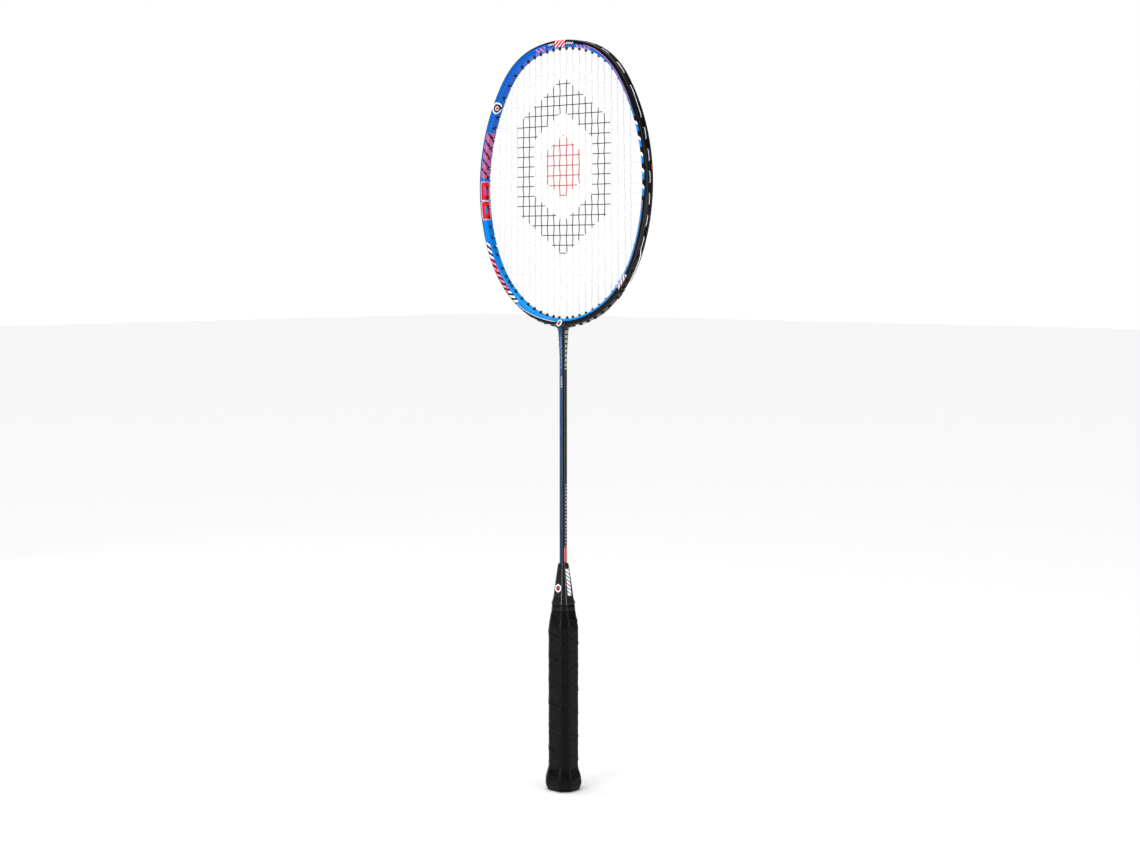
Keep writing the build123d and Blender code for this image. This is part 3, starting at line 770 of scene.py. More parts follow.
def crossDepth(x, z, index):
    return bed["weave"] * np.cos(math.pi * (x / pitchAt(z) - 0.5)) * (-1.0) ** index


def mouthOf(hole, side):
    return alongHole(hole, side, -(tubeHalf + bed["nub"] + bed["mouthGap"]))


def spread(start, end, spacing):
    count = max(2, int(math.ceil(np.linalg.norm(end - start) / spacing)))
    return start + (end - start) * np.linspace(0, 1, count)[:, None]


def lapPoints(hole, other, side, yFrom, yTo):
    # from one hole's exit to the next one's along the outside, level over a proud head
    first, last = exitOf(hole), exitOf(other)
    share = np.linspace(0, 1, bed["lapSteps"])
    level = first + (last - first) * share
    length = abs(lengthAt(other[0]) - lengthAt(hole[0]))
    past = (grommetSizes["head"] + bed["pastHead"]) / length
    step = grommetSizes["recessedHead"]
    if first - last > step:
        level = first + (last - first) * np.clip((share - past) / (1 - past), 0, 1)
    if last - first > step:
        level = first + (last - first) * np.clip(share / (1 - past), 0, 1)
    x, z = station(hole[0] + share * (other[0] - hole[0]), level)
    return np.stack([side * x, yFrom + (yTo - yFrom) * share, z], axis=1)[1:-1]


def throughHole(hole, side, y, outwards):
    run = spread(mouthOf(hole, side), alongHole(hole, side, exitOf(hole)), bed["spacing"])
    run[:, 1] = y
    return run if outwards else run[::-1]


def tieOff(hole, other, side, yFrom, y):
    out = alongHole(other, side, exitOf(other), y)
    knot = alongHole(other, side, -(tubeHalf + bed["nub"] + bed["tieInset"]), y)
    return np.concatenate([lapPoints(hole, other, side, yFrom, y), spread(out, knot, bed["spacing"])])


def bedRun(start, end, depth):
    run = spread(start, end, bed["spacing"])
    run[:, 1] = depth(run[:, 0], run[:, 2])
    return run


def holeDepth(mouth, depth, shared):
    # a string keeps its depth from the mouth on; in a shared hole it goes further to the side that it's on
    value = float(depth(mouth[0], mouth[2]))
    return math.copysign(bed["holeWeave"], value) if shared else value


def easeEnds(run, yStart, yEnd):
    reach = bed["easeReach"]
    gone = np.concatenate([[0], np.cumsum(np.linalg.norm(np.diff(run, axis=0), axis=1))])
    start, end = 1 - smooth(gone, 0, reach), 1 - smooth(gone[-1] - gone, 0, reach)
    run[:, 1] += start * (yStart - run[0, 1]) + end * (yEnd - run[-1, 1])
    return run


def mainLine():
    sharedPlaces = {holes[name] for name in sharedHoles}
    pieces, previous = [], None
    outer = holes["bottom", bed["mainPairs"] - 1]
    for index, (side, pair) in enumerate(zip(mainSide, mainPair)):
        depth = lambda x, z, index=index: mainDepth(z, index)
        bottom, top = holes["bottom", pair], holes["top", pair]
        low, high = mouthOf(bottom, side), mouthOf(top, side)
        yLow = holeDepth(low, depth, bottom in sharedPlaces)
        yHigh = holeDepth(high, depth, top in sharedPlaces)
        run = easeEnds(bedRun(low, high, depth), yLow, yHigh)[1:-1]
        line = np.concatenate(
            [throughHole(bottom, side, yLow, False), run, throughHole(top, side, yHigh, True)]
        )
        upwards = index % 2 == 0
        start, finish = (bottom, top) if upwards else (top, bottom)
        yStart, yEnd = (yLow, yHigh) if upwards else (yHigh, yLow)
        line = line if upwards else line[::-1]
        if previous is None:
            pieces.append(tieOff(outer, mainTie, side, yStart, -bed["holeWeave"])[::-1])
        elif previous[1] != side:
            share = np.linspace(-1, 1, 20)[1:-1]
            x, z = station(abs(share) * start[0], exitOf(start))
            middle = (share + 1) / 2
            pieces.append(
                np.stack([np.sign(share) * x, previous[2] + (yStart - previous[2]) * middle, z], axis=1)
            )
        else:
            pieces.append(lapPoints(previous[0], start, side, previous[2], yStart))
        pieces.append(line)
        previous = (finish, side, yEnd)
    pieces.append(tieOff(outer, mainTie, 1, previous[2], -bed["holeWeave"]))
    return np.concatenate(pieces)


def crossLine():
    sharedPlaces = {holes[name] for name in sharedHoles}
    pieces, previous = [], None
    for index in range(bed["crosses"]):
        hole = holes["cross", index]
        side = -1 if index % 2 == 0 else 1
        depth = lambda x, z, index=index: crossDepth(x, z, index)
        near, far = mouthOf(hole, side), mouthOf(hole, -side)
        shared = hole in sharedPlaces
        yNear, yFar = holeDepth(near, depth, shared), holeDepth(far, depth, shared)
        run = easeEnds(bedRun(near, far, depth), yNear, yFar)[1:-1]
        if previous is None:
            pieces.append(tieOff(hole, firstCrossTie, side, yNear, bed["holeWeave"])[::-1])
        else:
            pieces.append(lapPoints(previous[0], hole, side, previous[1], yNear))
        pieces += [throughHole(hole, side, yNear, False), run, throughHole(hole, -side, yFar, True)]
        previous = (hole, yFar)
    pieces.append(tieOff(previous[0], lastCrossTie, -1, previous[1], bed["holeWeave"]))
    return np.concatenate(pieces)


def evenly(line, spacing):
    gone = np.concatenate([[0], np.cumsum(np.linalg.norm(np.diff(line, axis=0), axis=1))])
    keep = np.concatenate([[True], np.diff(gone) > 1e-7])
    even = np.linspace(0, gone[-1], int(gone[-1] / spacing))
    return np.stack([np.interp(even, gone[keep], line[keep, axis]) for axis in range(3)], axis=1)


def relaxed(line, passes):
    # each point moves towards the middle of its neighbours, which rounds the bends at the holes
    for _ in range(passes):
        line[1:-1] = 0.5 * line[1:-1] + 0.25 * (line[:-2] + line[2:])
    return line


def tubeAlong(line, radius, sides, closed=False):
    # circles across the line: their first axis stays as near to Y as the line allows
    if closed:
        tangent = np.roll(line, -1, axis=0) - np.roll(line, 1, axis=0)
    else:
        tangent = np.gradient(line, axis=0)
    tangent /= np.linalg.norm(tangent, axis=1)[:, None]
    upright = np.array([0.0, 1.0, 0.0]) - tangent[:, 1:2] * tangent
    upright /= np.linalg.norm(upright, axis=1)[:, None]
    sideways = np.cross(tangent, upright)
    angle = np.linspace(0, 2 * math.pi, sides, endpoint=False)[None, :, None]
    return line[:, None] + radius * (np.cos(angle) * upright[:, None] + np.sin(angle) * sideways[:, None])


stencil = {
    "centreZ": 0.5640,
    "outer": 0.0560,
    "inner": 0.0350,
    "stretch": 1.22,
    "core": 0.0200,
}


def stringMaterial():
    material, tree, shader = newMaterial("stringPaint")
    place = parts(tree, objectPlace(tree))
    rise = maths(tree, "DIVIDE", maths(tree, "SUBTRACT", place[2], stencil["centreZ"]), stencil["stretch"])
    ring = useGroup(tree, hexGroup, X=place[0], Y=rise).outputs["Distance"]
    finish = useGroup(tree, finishGroup, Vector=objectPlace(tree), Scale=1800.0, Roughness=0.42, Spread=0.12)
    ragged = maths(tree, "MULTIPLY", maths(tree, "SUBTRACT", finish.outputs["Mottle"], 0.5), 0.0016)
    ring = maths(tree, "ADD", ring, ragged)
    base = blend(tree, finish.outputs["Mottle"], (0.72, 0.74, 0.76, 1.0), (0.82, 0.83, 0.85, 1.0))
    black = band(tree, ring, stencil["inner"], stencil["outer"], 0.0004)
    red = rescale(tree, ring, stencil["core"] - 0.0004, stencil["core"] + 0.0004, 1.0, 0.0)
    ink = maths(tree, "MULTIPLY", black, 0.97)
    colour = blend(tree, ink, base, (0.0018, 0.0022, 0.0022, 1.0))
    colour = blend(tree, maths(tree, "MULTIPLY", red, 0.97), colour, (0.50, 0.006, 0.008, 1.0))
    feed(tree, shader.inputs["Base Color"], colour)
    feed(tree, shader.inputs["Roughness"], finish.outputs["Roughness"])
    shader.inputs["Specular IOR Level"].default_value = 0.15
    addBump(tree, shader, finish.outputs["Height"], 0.1, 0.00004)
    return material


def makeStrings():
    material = stringMaterial()
    for name, node, line in (
        ("mainsWoven", "main_string", mainLine()), ("crossesWoven", "cross_string", crossLine())
    ):
        line = relaxed(evenly(line, bed["spacing"]), 2)
        piece = cappedRings(name, tubeAlong(line, bed["stringRadius"], bed["sides"]), material)
        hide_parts(node)
    t = np.linspace(0, 2 * math.pi, 72, endpoint=False)
    # trefoil: two turns round while the radius swings three times
    trefoil = np.stack(
        [np.sin(t) + 2 * np.sin(2 * t), np.cos(t) - 2 * np.cos(2 * t), -1.3 * np.sin(3 * t)], axis=1
    ) * 0.00026
    knots = [("knotMainLeft", mainTie, -1, -1), ("knotMainRight", mainTie, 1, -1),
             ("knotCrossTop", firstCrossTie, -1, 1), ("knotCrossLow", lastCrossTie, -1, 1)]
    for name, hole, side, face in knots:
        inset = tubeHalf + bed["nub"] + bed["knotInset"]
        centre = alongHole(hole, side, -inset, face * bed["holeWeave"])
        loop = trefoil + centre
        tangent = np.roll(loop, -1, axis=0) - np.roll(loop, 1, axis=0)
        tangent /= np.linalg.norm(tangent, axis=1)[:, None]
        outwards = loop - centre
        first = outwards - (outwards * tangent).sum(axis=1)[:, None] * tangent
        first /= np.linalg.norm(first, axis=1)[:, None]
        second = np.cross(tangent, first)
        angle = np.linspace(0, 2 * math.pi, 10, endpoint=False)[None, :, None]
        rings = loop[:, None] + bed["stringRadius"] * (
            np.cos(angle) * first[:, None] + np.sin(angle) * second[:, None]
        )
        piece = stackedRings(name, rings, material)


makeStrings()
print("strings made")


# rounded octagons for the cone, the handle and the butt

def octagonRing(halfX, halfY, leg, rounding, flat=10, bend=5):
    # corners are arcs of the rounding; every flat has the same number of points, so rings stack up
    share = 2 - math.sqrt(2)
    hx, hy, k = halfX - rounding, halfY - rounding, leg - rounding * share
    corners = np.array([(hx, k - hy), (hx, hy - k), (hx - k, hy), (k - hx, hy),
                        (-hx, hy - k), (-hx, k - hy), (k - hx, -hy), (hx - k, -hy)])
    points, normals = [], []
    for index in range(8):
        here, after = corners[index], corners[(index + 1) % 8]
        turn = math.radians(45 * index)
        arc = np.linspace(turn - math.radians(45), turn, bend)[:, None]
        fan = np.concatenate([np.cos(arc), np.sin(arc)], axis=1)
        points.append(here + rounding * fan)
        normals.append(fan)
        share1 = np.linspace(0, 1, flat)[1:-1, None]
        way = np.array([math.cos(turn), math.sin(turn)])
        points.append(here + (after - here) * share1 + rounding * way)
        normals.append(np.repeat(way[None], flat - 2, axis=0))
    return np.concatenate(points), np.concatenate(normals)


def octagonStack(rows, flat=10, bend=5):
    # rows of (z, half x, half y, leg, rounding)
    rings = []
    for z, halfX, halfY, leg, rounding in rows:
        ring, _ = octagonRing(halfX, halfY, leg, rounding, flat, bend)
        rings.append(np.column_stack([ring, np.full(len(ring), z)]))
    return np.stack(rings)


coneLow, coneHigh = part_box("cone_cap")[0].z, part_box("cone_cap")[1].z
gripHigh = coneLow
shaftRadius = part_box("shaft")[1].x
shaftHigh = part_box("shaft")[1].z
cone = {
    "lip": 0.0095,
    "lipHeight": 0.0055,
    "base": 0.00875,
    "topWall": 0.00085,
    "cornerShare": 0.39,
    "edge": 0.0030,
}


def makeCone(material):
    share, edge = cone["cornerShare"], cone["edge"]
    top = shaftRadius + cone["topWall"]
    lip, base, low = cone["lip"], cone["base"], coneLow
    # a lip that flares down to its widest just over a small chamfer, then the slope up to the shaft
    rise = coneHigh - low - 0.0006
    neck = base + (top - base) * (cone["lipHeight"] / rise)
    outside = [(low, lip - 0.0007, edge), (low + 0.0006, lip, edge), (low + 0.0010, lip, edge),
               (low + cone["lipHeight"], neck + 0.0001, edge)]
    for t in np.linspace(cone["lipHeight"] / rise, 1, 14)[1:]:
        swell = 0.00012 * math.sin(math.pi * t)
        outside.append((low + t * rise, base + t * (top - base) + swell, edge * (1 - 0.5 * t)))
    outside += [(coneHigh - 0.0002, top - 0.0002, edge * 0.5), (coneHigh, top - 0.0005, edge * 0.4)]
    rows = [(z, half, half, half * share, soft) for z, half, soft in outside]
    rings = octagonStack(rows)
    turn = np.arctan2(rings[0, :, 1], rings[0, :, 0])
    bore = np.stack([shaftRadius * np.cos(turn), shaftRadius * np.sin(turn)], axis=1)
    levels = (coneHigh - 0.0002, coneHigh - 0.004, low + 0.0002)
    inner = [np.column_stack([bore, np.full(len(bore), z)]) for z in levels]
    piece = stackedRings("coneFaceted", np.concatenate([rings, np.stack(inner)]), material, sharp=40)
    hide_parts("cone_cap")


def coneMaterial():
    material, tree, shader = newMaterial("coneGloss")
    place = parts(tree, objectPlace(tree))
    height = maths(tree, "SUBTRACT", place[2], coneLow)
    frontFace = maths(
        tree, "LESS_THAN", maths(tree, "ADD", place[1], maths(tree, "ABSOLUTE", place[0])), -0.0005
    )
    rightFace = maths(
        tree, "LESS_THAN", maths(tree, "SUBTRACT", maths(tree, "ABSOLUTE", place[1]), place[0]), -0.0005
    )
    # emblem on the front facet: a white hexagon ring round a red hexagon
    gem = useGroup(tree, hexGroup, X=place[0], Y=maths(tree, "SUBTRACT", height, 0.0150)).outputs["Distance"]
    ring = both(tree, frontFace, band(tree, gem, 0.0022, 0.0034, 0.0001))
    redGem = both(tree, frontFace, rescale(tree, gem, 0.0011, 0.0013, 1.0, 0.0))
    # ladder of slanted bars on the right facet, with one red dot beside it
    climbing = maths(tree, "ADD", height, maths(tree, "MULTIPLY", place[1], 0.7))
    rungs = band(tree, maths(tree, "FRACT", maths(tree, "DIVIDE", climbing, 0.0036)), 0.14, 0.86, 0.05)
    ladder = both(
        tree,
        rightFace,
        rungs,
        band(tree, place[1], -0.0024, 0.0022, 0.0001),
        band(tree, height, 0.0082, 0.0325, 0.0002),
    )
    dotDistance = useGroup(
        tree, hexGroup, X=maths(tree, "ADD", place[1], 0.0033), Y=maths(tree, "SUBTRACT", height, 0.0190)
    ).outputs["Distance"]
    dot = both(tree, rightFace, rescale(tree, dotDistance, 0.0007, 0.0009, 1.0, 0.0))
    colour = blend(tree, either(tree, ring, ladder), (0.0035, 0.0036, 0.0044, 1.0), paint["white"])
    colour = blend(tree, either(tree, redGem, dot), colour, paint["red"])
    feed(tree, shader.inputs["Base Color"], colour)
    finish = useGroup(tree, finishGroup, Vector=objectPlace(tree), Scale=2600.0, Roughness=0.22, Spread=0.08)
    feed(tree, shader.inputs["Roughness"], finish.outputs["Roughness"])
    shader.inputs["Specular IOR Level"].default_value = 0.60
    shader.inputs["Coat Weight"].default_value = 0.0
    shader.inputs["Coat Roughness"].default_value = 0.08
    addBump(tree, shader, finish.outputs["Height"], 0.06, 0.00005)
    return material


makeCone(coneMaterial())
print("cone made")


# throat sleeve and shaft

throatLow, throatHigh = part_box("throat_sleeve")[0].z, float(station(180.0, tubeHalf)[1])
throat = {
    "foot": 0.00015,
    "waist": (0.00035, 0.00055),
    "top": (0.00095, 0.0025),
    "waistAt": 0.42,
    "fillet": 0.0050,
    "filletAcross": 1.2,
    "filletDeep": 0.1,
    "shoulder": 0.0036,
    "sides": 64,
}


def makeThroat(material):
    # ellipses from the shaft up: a slow flare, a fillet under the tube, and a shoulder over its face
    angle = np.linspace(0, 2 * math.pi, throat["sides"], endpoint=False)
    foot, filletShare = throat["foot"], throat["fillet"] / (throatHigh - throatLow)
    rows = []
    for t in np.linspace(0, 1, 26):
        rise = t ** 2.1
        low = smooth(t, 0.0, throat["waistAt"])
        wallX, wallY = (
            foot + (waist - foot) * low + (top - waist) * rise
            for waist, top in zip(throat["waist"], throat["top"])
        )
        near = np.clip((t - 1 + filletShare) / filletShare, 0, 1)
        flare = throat["fillet"] * (1 - math.sqrt(max(0.0, 1 - near ** 2)))
        halfX = shaftRadius + wallX + throat["filletAcross"] * flare
        halfY = shaftRadius + wallY + throat["filletDeep"] * flare
        rows.append((throatLow + t * (throatHigh - throatLow), halfX, halfY))
    topX, topY = rows[-1][1], rows[-1][2]
    for t in np.linspace(0, 1, 9)[1:]:
        lift, shrink = throat["shoulder"] * math.sin(t * math.pi / 2), 1 - math.cos(t * math.pi / 2)
        rows.append((throatHigh + lift, topX - 0.0060 * shrink, topY - (topY - 0.0042) * shrink))
    rings = np.stack(
        [np.stack([a * np.cos(angle), b * np.sin(angle), np.full(len(angle), z)], axis=1) for z, a, b in rows]
    )
    skin = np.stack(
        np.meshgrid(rings[:, 0, 2], np.linspace(-math.pi, math.pi, len(angle) + 1), indexing="ij"), axis=-1
    )
    piece = cappedRings("throatFairing", rings, material, uvs=skin[..., ::-1])
    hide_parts("throat_sleeve")


def makeShaft(material):
    angle = np.linspace(0, 2 * math.pi, 64, endpoint=False)
    levels = np.concatenate([[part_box("shaft")[0].z], np.linspace(coneHigh - 0.001, shaftHigh, 60)])
    circle = np.stack([np.cos(angle), np.sin(angle)], axis=1) * shaftRadius
    rings = np.stack([np.column_stack([circle, np.full(len(angle), z)]) for z in levels])
    piece = cappedRings("shaftTube", rings, material)
    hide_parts("shaft")


def shaftMaterial():
    # painted down its length: blue on the front left, black in the middle, smoke grey on the right
    material, tree, shader = newMaterial("shaftPaint")
    whole = objectPlace(tree)
    place = parts(tree, whole)
    angle = maths(tree, "ARCTAN2", place[1], place[0])
    turn = maths(tree, "MULTIPLY", angle, 180 / math.pi)
    # the back repeats the front, turned half round; this runs from 0 at the blue's outer edge to 180
    turned = maths(tree, "FLOORED_MODULO", maths(tree, "ADD", turn, 140.0), 180.0)
    blueMask = band(tree, turned, 0.0, 72.0, 2.0)
    smoke = band(tree, turned, 118.0, 170.0, 3.0)
    height = rescale(tree, place[2], coneHigh, throatHigh)
    blue = blend(tree, height, (0.0, 0.024, 0.068, 1.0), (0.0, 0.062, 0.160, 1.0))
    paler = both(tree, band(tree, place[2], 0.3845, 0.4128, 0.0010), band(tree, turned, 34.0, 72.0, 3.0))
    blue = blend(tree, maths(tree, "MULTIPLY", paler, 0.6), blue, (0.11, 0.20, 0.36, 1.0))
    blueMask = both(
        tree, blueMask, rescale(tree, place[2], throatHigh - 0.0016, throatHigh - 0.0010, 1.0, 0.0)
    )
    colour = blend(tree, blueMask, (0.004, 0.0045, 0.008, 1.0), blue)
    colour = blend(tree, smoke, colour, (0.006, 0.008, 0.004, 1.0))
    # painted highlights: a faint grey-blue line left of the middle and a faint grey line right of it, where
    # the softboxes gleam on the shaft
    line = band(tree, turned, 71.0, 80.0, 1.0)
    colour = blend(tree, maths(tree, "MULTIPLY", line, 0.4), colour, (0.05, 0.06, 0.12, 1.0))
    shaftHighlightRight = band(tree, turned, 110.0, 118.0, 1.0)
    colour = blend(tree, maths(tree, "MULTIPLY", shaftHighlightRight, 0.3), colour, (0.05, 0.06, 0.06, 1.0))

    def ticks(low, high, pitch, share, turnLow, turnHigh):
        beat = band(tree, maths(tree, "FRACT", maths(tree, "DIVIDE", place[2], pitch)), 0.0, share, 0.05)
        return both(
            tree, beat, band(tree, place[2], low, high, 0.0002), band(tree, turned, turnLow, turnHigh, 1.5)
        )

    dark = either(
        tree, ticks(0.3845, 0.4120, 0.0045, 0.42, 24.0, 54.0), ticks(0.3678, 0.3772, 0.0017, 0.6, 10.0, 48.0)
    )
    colour = blend(tree, dark, colour, (0.002, 0.003, 0.006, 1.0))
    pale = either(
        tree,
        ticks(0.3835, 0.4190, 0.0042, 0.66, 118.0, 166.0),
        ticks(0.222, 0.280, 0.0031, 0.5, 126.0, 150.0),
    )
    colour = blend(tree, maths(tree, "MULTIPLY", pale, 0.85), colour, (0.34, 0.40, 0.37, 1.0))
    lightTicks = ticks(0.3676, 0.3774, 0.0021, 0.7, 48.0, 76.0)
    colour = blend(tree, maths(tree, "MULTIPLY", lightTicks, 0.8), colour, (0.42, 0.47, 0.58, 1.0))
    salmon = both(tree, band(tree, place[2], 0.2095, 0.2225, 0.0008), band(tree, turned, 106.0, 170.0, 2.0))
    colour = blend(tree, maths(tree, "MULTIPLY", salmon, 0.9), colour, (0.62, 0.13, 0.11, 1.0))
    colour = blend(
        tree, both(tree, salmon, band(tree, turned, 128.0, 136.0, 2.0)), colour, (0.16, 0.02, 0.03, 1.0)
    )
    colour = throatEmblem(tree, place, colour)
    feed(tree, shader.inputs["Base Color"], colour)
    finish = useGroup(tree, finishGroup, Vector=whole, Scale=2200.0, Roughness=0.14, Spread=0.05)
    feed(tree, shader.inputs["Roughness"], finish.outputs["Roughness"])
    shader.inputs["Specular IOR Level"].default_value = 0.20
    shader.inputs["Coat Weight"].default_value = 0.0
    shader.inputs["Coat Roughness"].default_value = 0.05
    addBump(tree, shader, finish.outputs["Height"], 0.04, 0.00004)
    return material


shaftPaint = shaftMaterial()
makeThroat(shaftPaint)
makeShaft(shaftPaint)
print("shaft made")


# grip: tape wound up the handle, each turn's lower edge over the one below

grip = {
    "straight": (0.0135, 0.0122, 0.0064),
    "top": (0.0093, 0.0093, 0.0039),
    "flare": (0.0162, 0.0150, 0.0080),
    "buttEdge": 0.0018,
    "flareFrom": 0.0095,
    "flareTo": 0.0225,
    "taper": 0.0220,
    "rounding": 0.0046,
    "inset": 0.00035,
    "pitch": 0.0213,
    "seamFrom": 0.0075,
    "step": 0.00038,
    "overlap": 0.24,
    "crease": 0.00016,
    "pillow": 0.00012,
    "thickness": 0.0016,
    "rows": 600,
    "flat": (0.025, 0.660),
}


def gripSize(z):
    # half sizes and corner leg at each height: the butt's flare, the straight part, the taper to the cone
    up = smooth(z, grip["flareFrom"], grip["flareTo"])
    taperStart = gripHigh - grip["taper"]
    over = np.clip((z - taperStart) / grip["taper"], 0, 1)
    over = 0.35 * smooth(over, 0, 1) + 0.65 * over
    flare, straight, top = (np.array(grip[key]) for key in ("flare", "straight", "top"))
    size = flare + (straight - flare) * up
    return size + (top - straight) * over


def makeGrip(material):
    # octagon rings in even steps, moved out along their own normals by the winding's relief
    low, high = grip["buttEdge"], gripHigh
    levels = np.linspace(low, high, grip["rows"])
    rings = []
    for z in levels:
        halfX, halfY, leg = gripSize(z) - grip["inset"] * np.array([1, 1, 0.586])
        rounding = min(grip["rounding"], leg / 0.62)
        ring, normal = octagonRing(halfX, halfY, leg, rounding, 12, 6)
        theta = np.unwrap(np.arctan2(ring[:, 1], ring[:, 0]))
        phase = (z - grip["seamFrom"]) / grip["pitch"] + theta / (2 * math.pi)
        share = phase - np.floor(phase)
        lap = grip["step"] * (1 - smooth(share, 0.02, grip["overlap"]))
        rise = smooth(share, 0.0, 0.016)
        ends = smooth(z, low, low + 0.004) * (1 - smooth(z, high - 0.012, high - 0.006))
        crease = grip["crease"] * np.exp(-((np.minimum(share, 1 - share) / 0.014) ** 2))
        pillow = grip["pillow"] * (1 - np.abs(2 * share - 1) ** 5)
        wander = 0.00006 * np.sin(theta * 3 + z * 410) + 0.00005 * np.sin(theta * 5 - z * 930)
        out = (lap * rise - crease + pillow + wander) * ends
        foot = 0.0016 * (1 - np.clip((z - low) / 0.0045, 0, 1)) ** 2
        ring = ring + normal * (out - foot)[:, None]
        rings.append(np.column_stack([ring, np.full(len(ring), z)]))
    outside = np.stack(rings)
    inside = []
    for z in np.linspace(high, low, 12):
        halfX, halfY, leg = gripSize(z) - grip["thickness"] * np.array([1, 1, 0.586])
        ring, _ = octagonRing(halfX, halfY, leg, min(grip["rounding"], leg / 0.62) * 0.6, 12, 6)
        inside.append(np.column_stack([ring, np.full(len(ring), z)]))
    piece = stackedRings("gripWound", np.concatenate([outside, np.stack(inside)]), material)
    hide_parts("grip_wrap")
    return piece


def gripMaterial():
    material, tree, shader = newMaterial("gripTape")
    whole = objectPlace(tree)
    finish = useGroup(tree, finishGroup, Vector=whole, Scale=2600.0, Roughness=0.31, Spread=0.10)
    cells = makeNode(tree, "ShaderNodeTexVoronoi", feature="DISTANCE_TO_EDGE")
    feed(tree, cells.inputs["Vector"], whole)
    cells.inputs["Scale"].default_value = 1300.0
    pores = rescale(tree, cells.outputs["Distance"], 0.0, 0.25)
    wear = noiseOf(tree, whole, 38.0, 5.0, 0.6)
    colour = blend(tree, wear, (0.0014, 0.0015, 0.0018, 1.0), (0.0030, 0.0031, 0.0036, 1.0))
    feed(tree, shader.inputs["Base Color"], colour)
    rough = maths(
        tree,
        "ADD",
        finish.outputs["Roughness"],
        maths(tree, "MULTIPLY", maths(tree, "SUBTRACT", wear, 0.5), 0.2),
    )
    feed(tree, shader.inputs["Roughness"], rough)
    shader.inputs["Specular IOR Level"].default_value = 0.10
    height = maths(
        tree,
        "ADD",
        maths(tree, "MULTIPLY", pores, 0.6),
        maths(tree, "MULTIPLY", finish.outputs["Height"], 0.4),
    )
    addBump(tree, shader, height, 0.35, 0.00012)
    return material


def makeFinishingBand(material):
    low, high = gripHigh - 0.0050, gripHigh - 0.0001
    rows = []
    for z, out in (
        (low, -0.00036),
        (low + 0.0005, -0.0002),
        ((low + high) / 2, -0.00016),
        (high - 0.0003, -0.0002),
        (high, -0.0005),
    ):
        halfX, halfY, leg = gripSize(z) + out
        rows.append((z, halfX, halfY, leg, min(grip["rounding"], leg / 0.62)))
    for z in (high, low):
        halfX, halfY, leg = gripSize(z) - 0.0008
        rows.append((z, halfX, halfY, leg, min(grip["rounding"], leg / 0.62)))
    piece = stackedRings("finishingBand", octagonStack(rows, 12, 6), material)
    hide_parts("finishing_tape")


makeGrip(gripMaterial())
makeFinishingBand(
    plainFinish("bandVinyl", (0.0030, 0.0030, 0.0045, 1.0), 0.36, 0.1, 1500.0, 0.15, gleam=0.18)
)
print("grip made")


# butt cap and badge

butt = {
    "pocketRadius": 0.0090,
    "pocketDepth": 0.0013,
    "badgeThickness": 0.0008,
}


def makeButt(material):
    # from the pocket's middle out over the foot and round its edge, then up inside the tape
    halfX, halfY, leg = grip["flare"]
    profile = (
        (0.0, 0.0040),
        (0.0002, 0.0032),
        (0.0007, 0.0025),
        (0.0014, 0.0020),
        (0.0019, 0.0020),
        (0.0021, 0.0026),
        (0.0110, 0.0026),
    )
    rows = [(z, halfX - inset, halfY - inset, leg - 0.586 * inset) for z, inset in profile]
    rows.append((0.0200, 0.0110, 0.0100, 0.0050))
    outside = octagonStack([(z, a, b, k, 0.0034) for z, a, b, k in rows], 12, 6)
    turn = np.arctan2(outside[0, :, 1], outside[0, :, 0])
    inner = []
    for radius, z in ((0.0002, butt["pocketDepth"]), (butt["pocketRadius"], butt["pocketDepth"]),
                      (butt["pocketRadius"], 0.0003), (butt["pocketRadius"] + 0.0003, 0.0)):
        inner.append(np.stack([radius * np.cos(turn), radius * np.sin(turn), np.full(len(turn), z)], axis=1))
    piece = cappedRings("buttFoot", np.concatenate([np.stack(inner), outside]), material, sharp=45)
    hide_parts("butt_cap")


def makeBadge(material):
    # a disc with a raised rim and a raised hexagon, as one height over the radius and angle
    angle = np.linspace(0, 2 * math.pi, 96, endpoint=False)
    low = butt["pocketDepth"] - butt["badgeThickness"]
    radii = np.concatenate([np.linspace(0.0002, 0.0086, 40), [0.0088, 0.0089]])
    hexagon = 0.0052 * math.cos(math.pi / 6) / np.cos((angle + math.pi / 6) % (math.pi / 3) - math.pi / 6)
    out = radii[:, None]
    raised = smooth(out, hexagon - 0.0014, hexagon - 0.0012) * (1 - smooth(out, hexagon - 0.0002, hexagon))
    relief = smooth(out, 0.0076, 0.0078) + raised
    z = low + 0.00025 * (1 - np.clip(relief, 0, 1))
    z[-1] += 0.0002
    face = np.stack([radii[:, None] * np.cos(angle), radii[:, None] * np.sin(angle), z], axis=-1)
    back = np.stack(
        [0.0089 * np.cos(angle), 0.0089 * np.sin(angle), np.full(len(angle), butt["pocketDepth"])], axis=-1
    )
    piece = cappedRings("badgeDisc", np.concatenate([face, back[None]]), material)
    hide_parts("butt_badge")


makeButt(plainFinish("buttPlastic", (0.0035, 0.0035, 0.004, 1.0), 0.45, 0.12, 2000.0, 0.25, gleam=0.14))
makeBadge(plainFinish("badgeGloss", (0.03, 0.06, 0.30, 1.0), 0.28, 0.08, 2000.0, 0.1, coat=0.4))
print("butt made")


# hidden nodes keep their shape and get a finish of their own

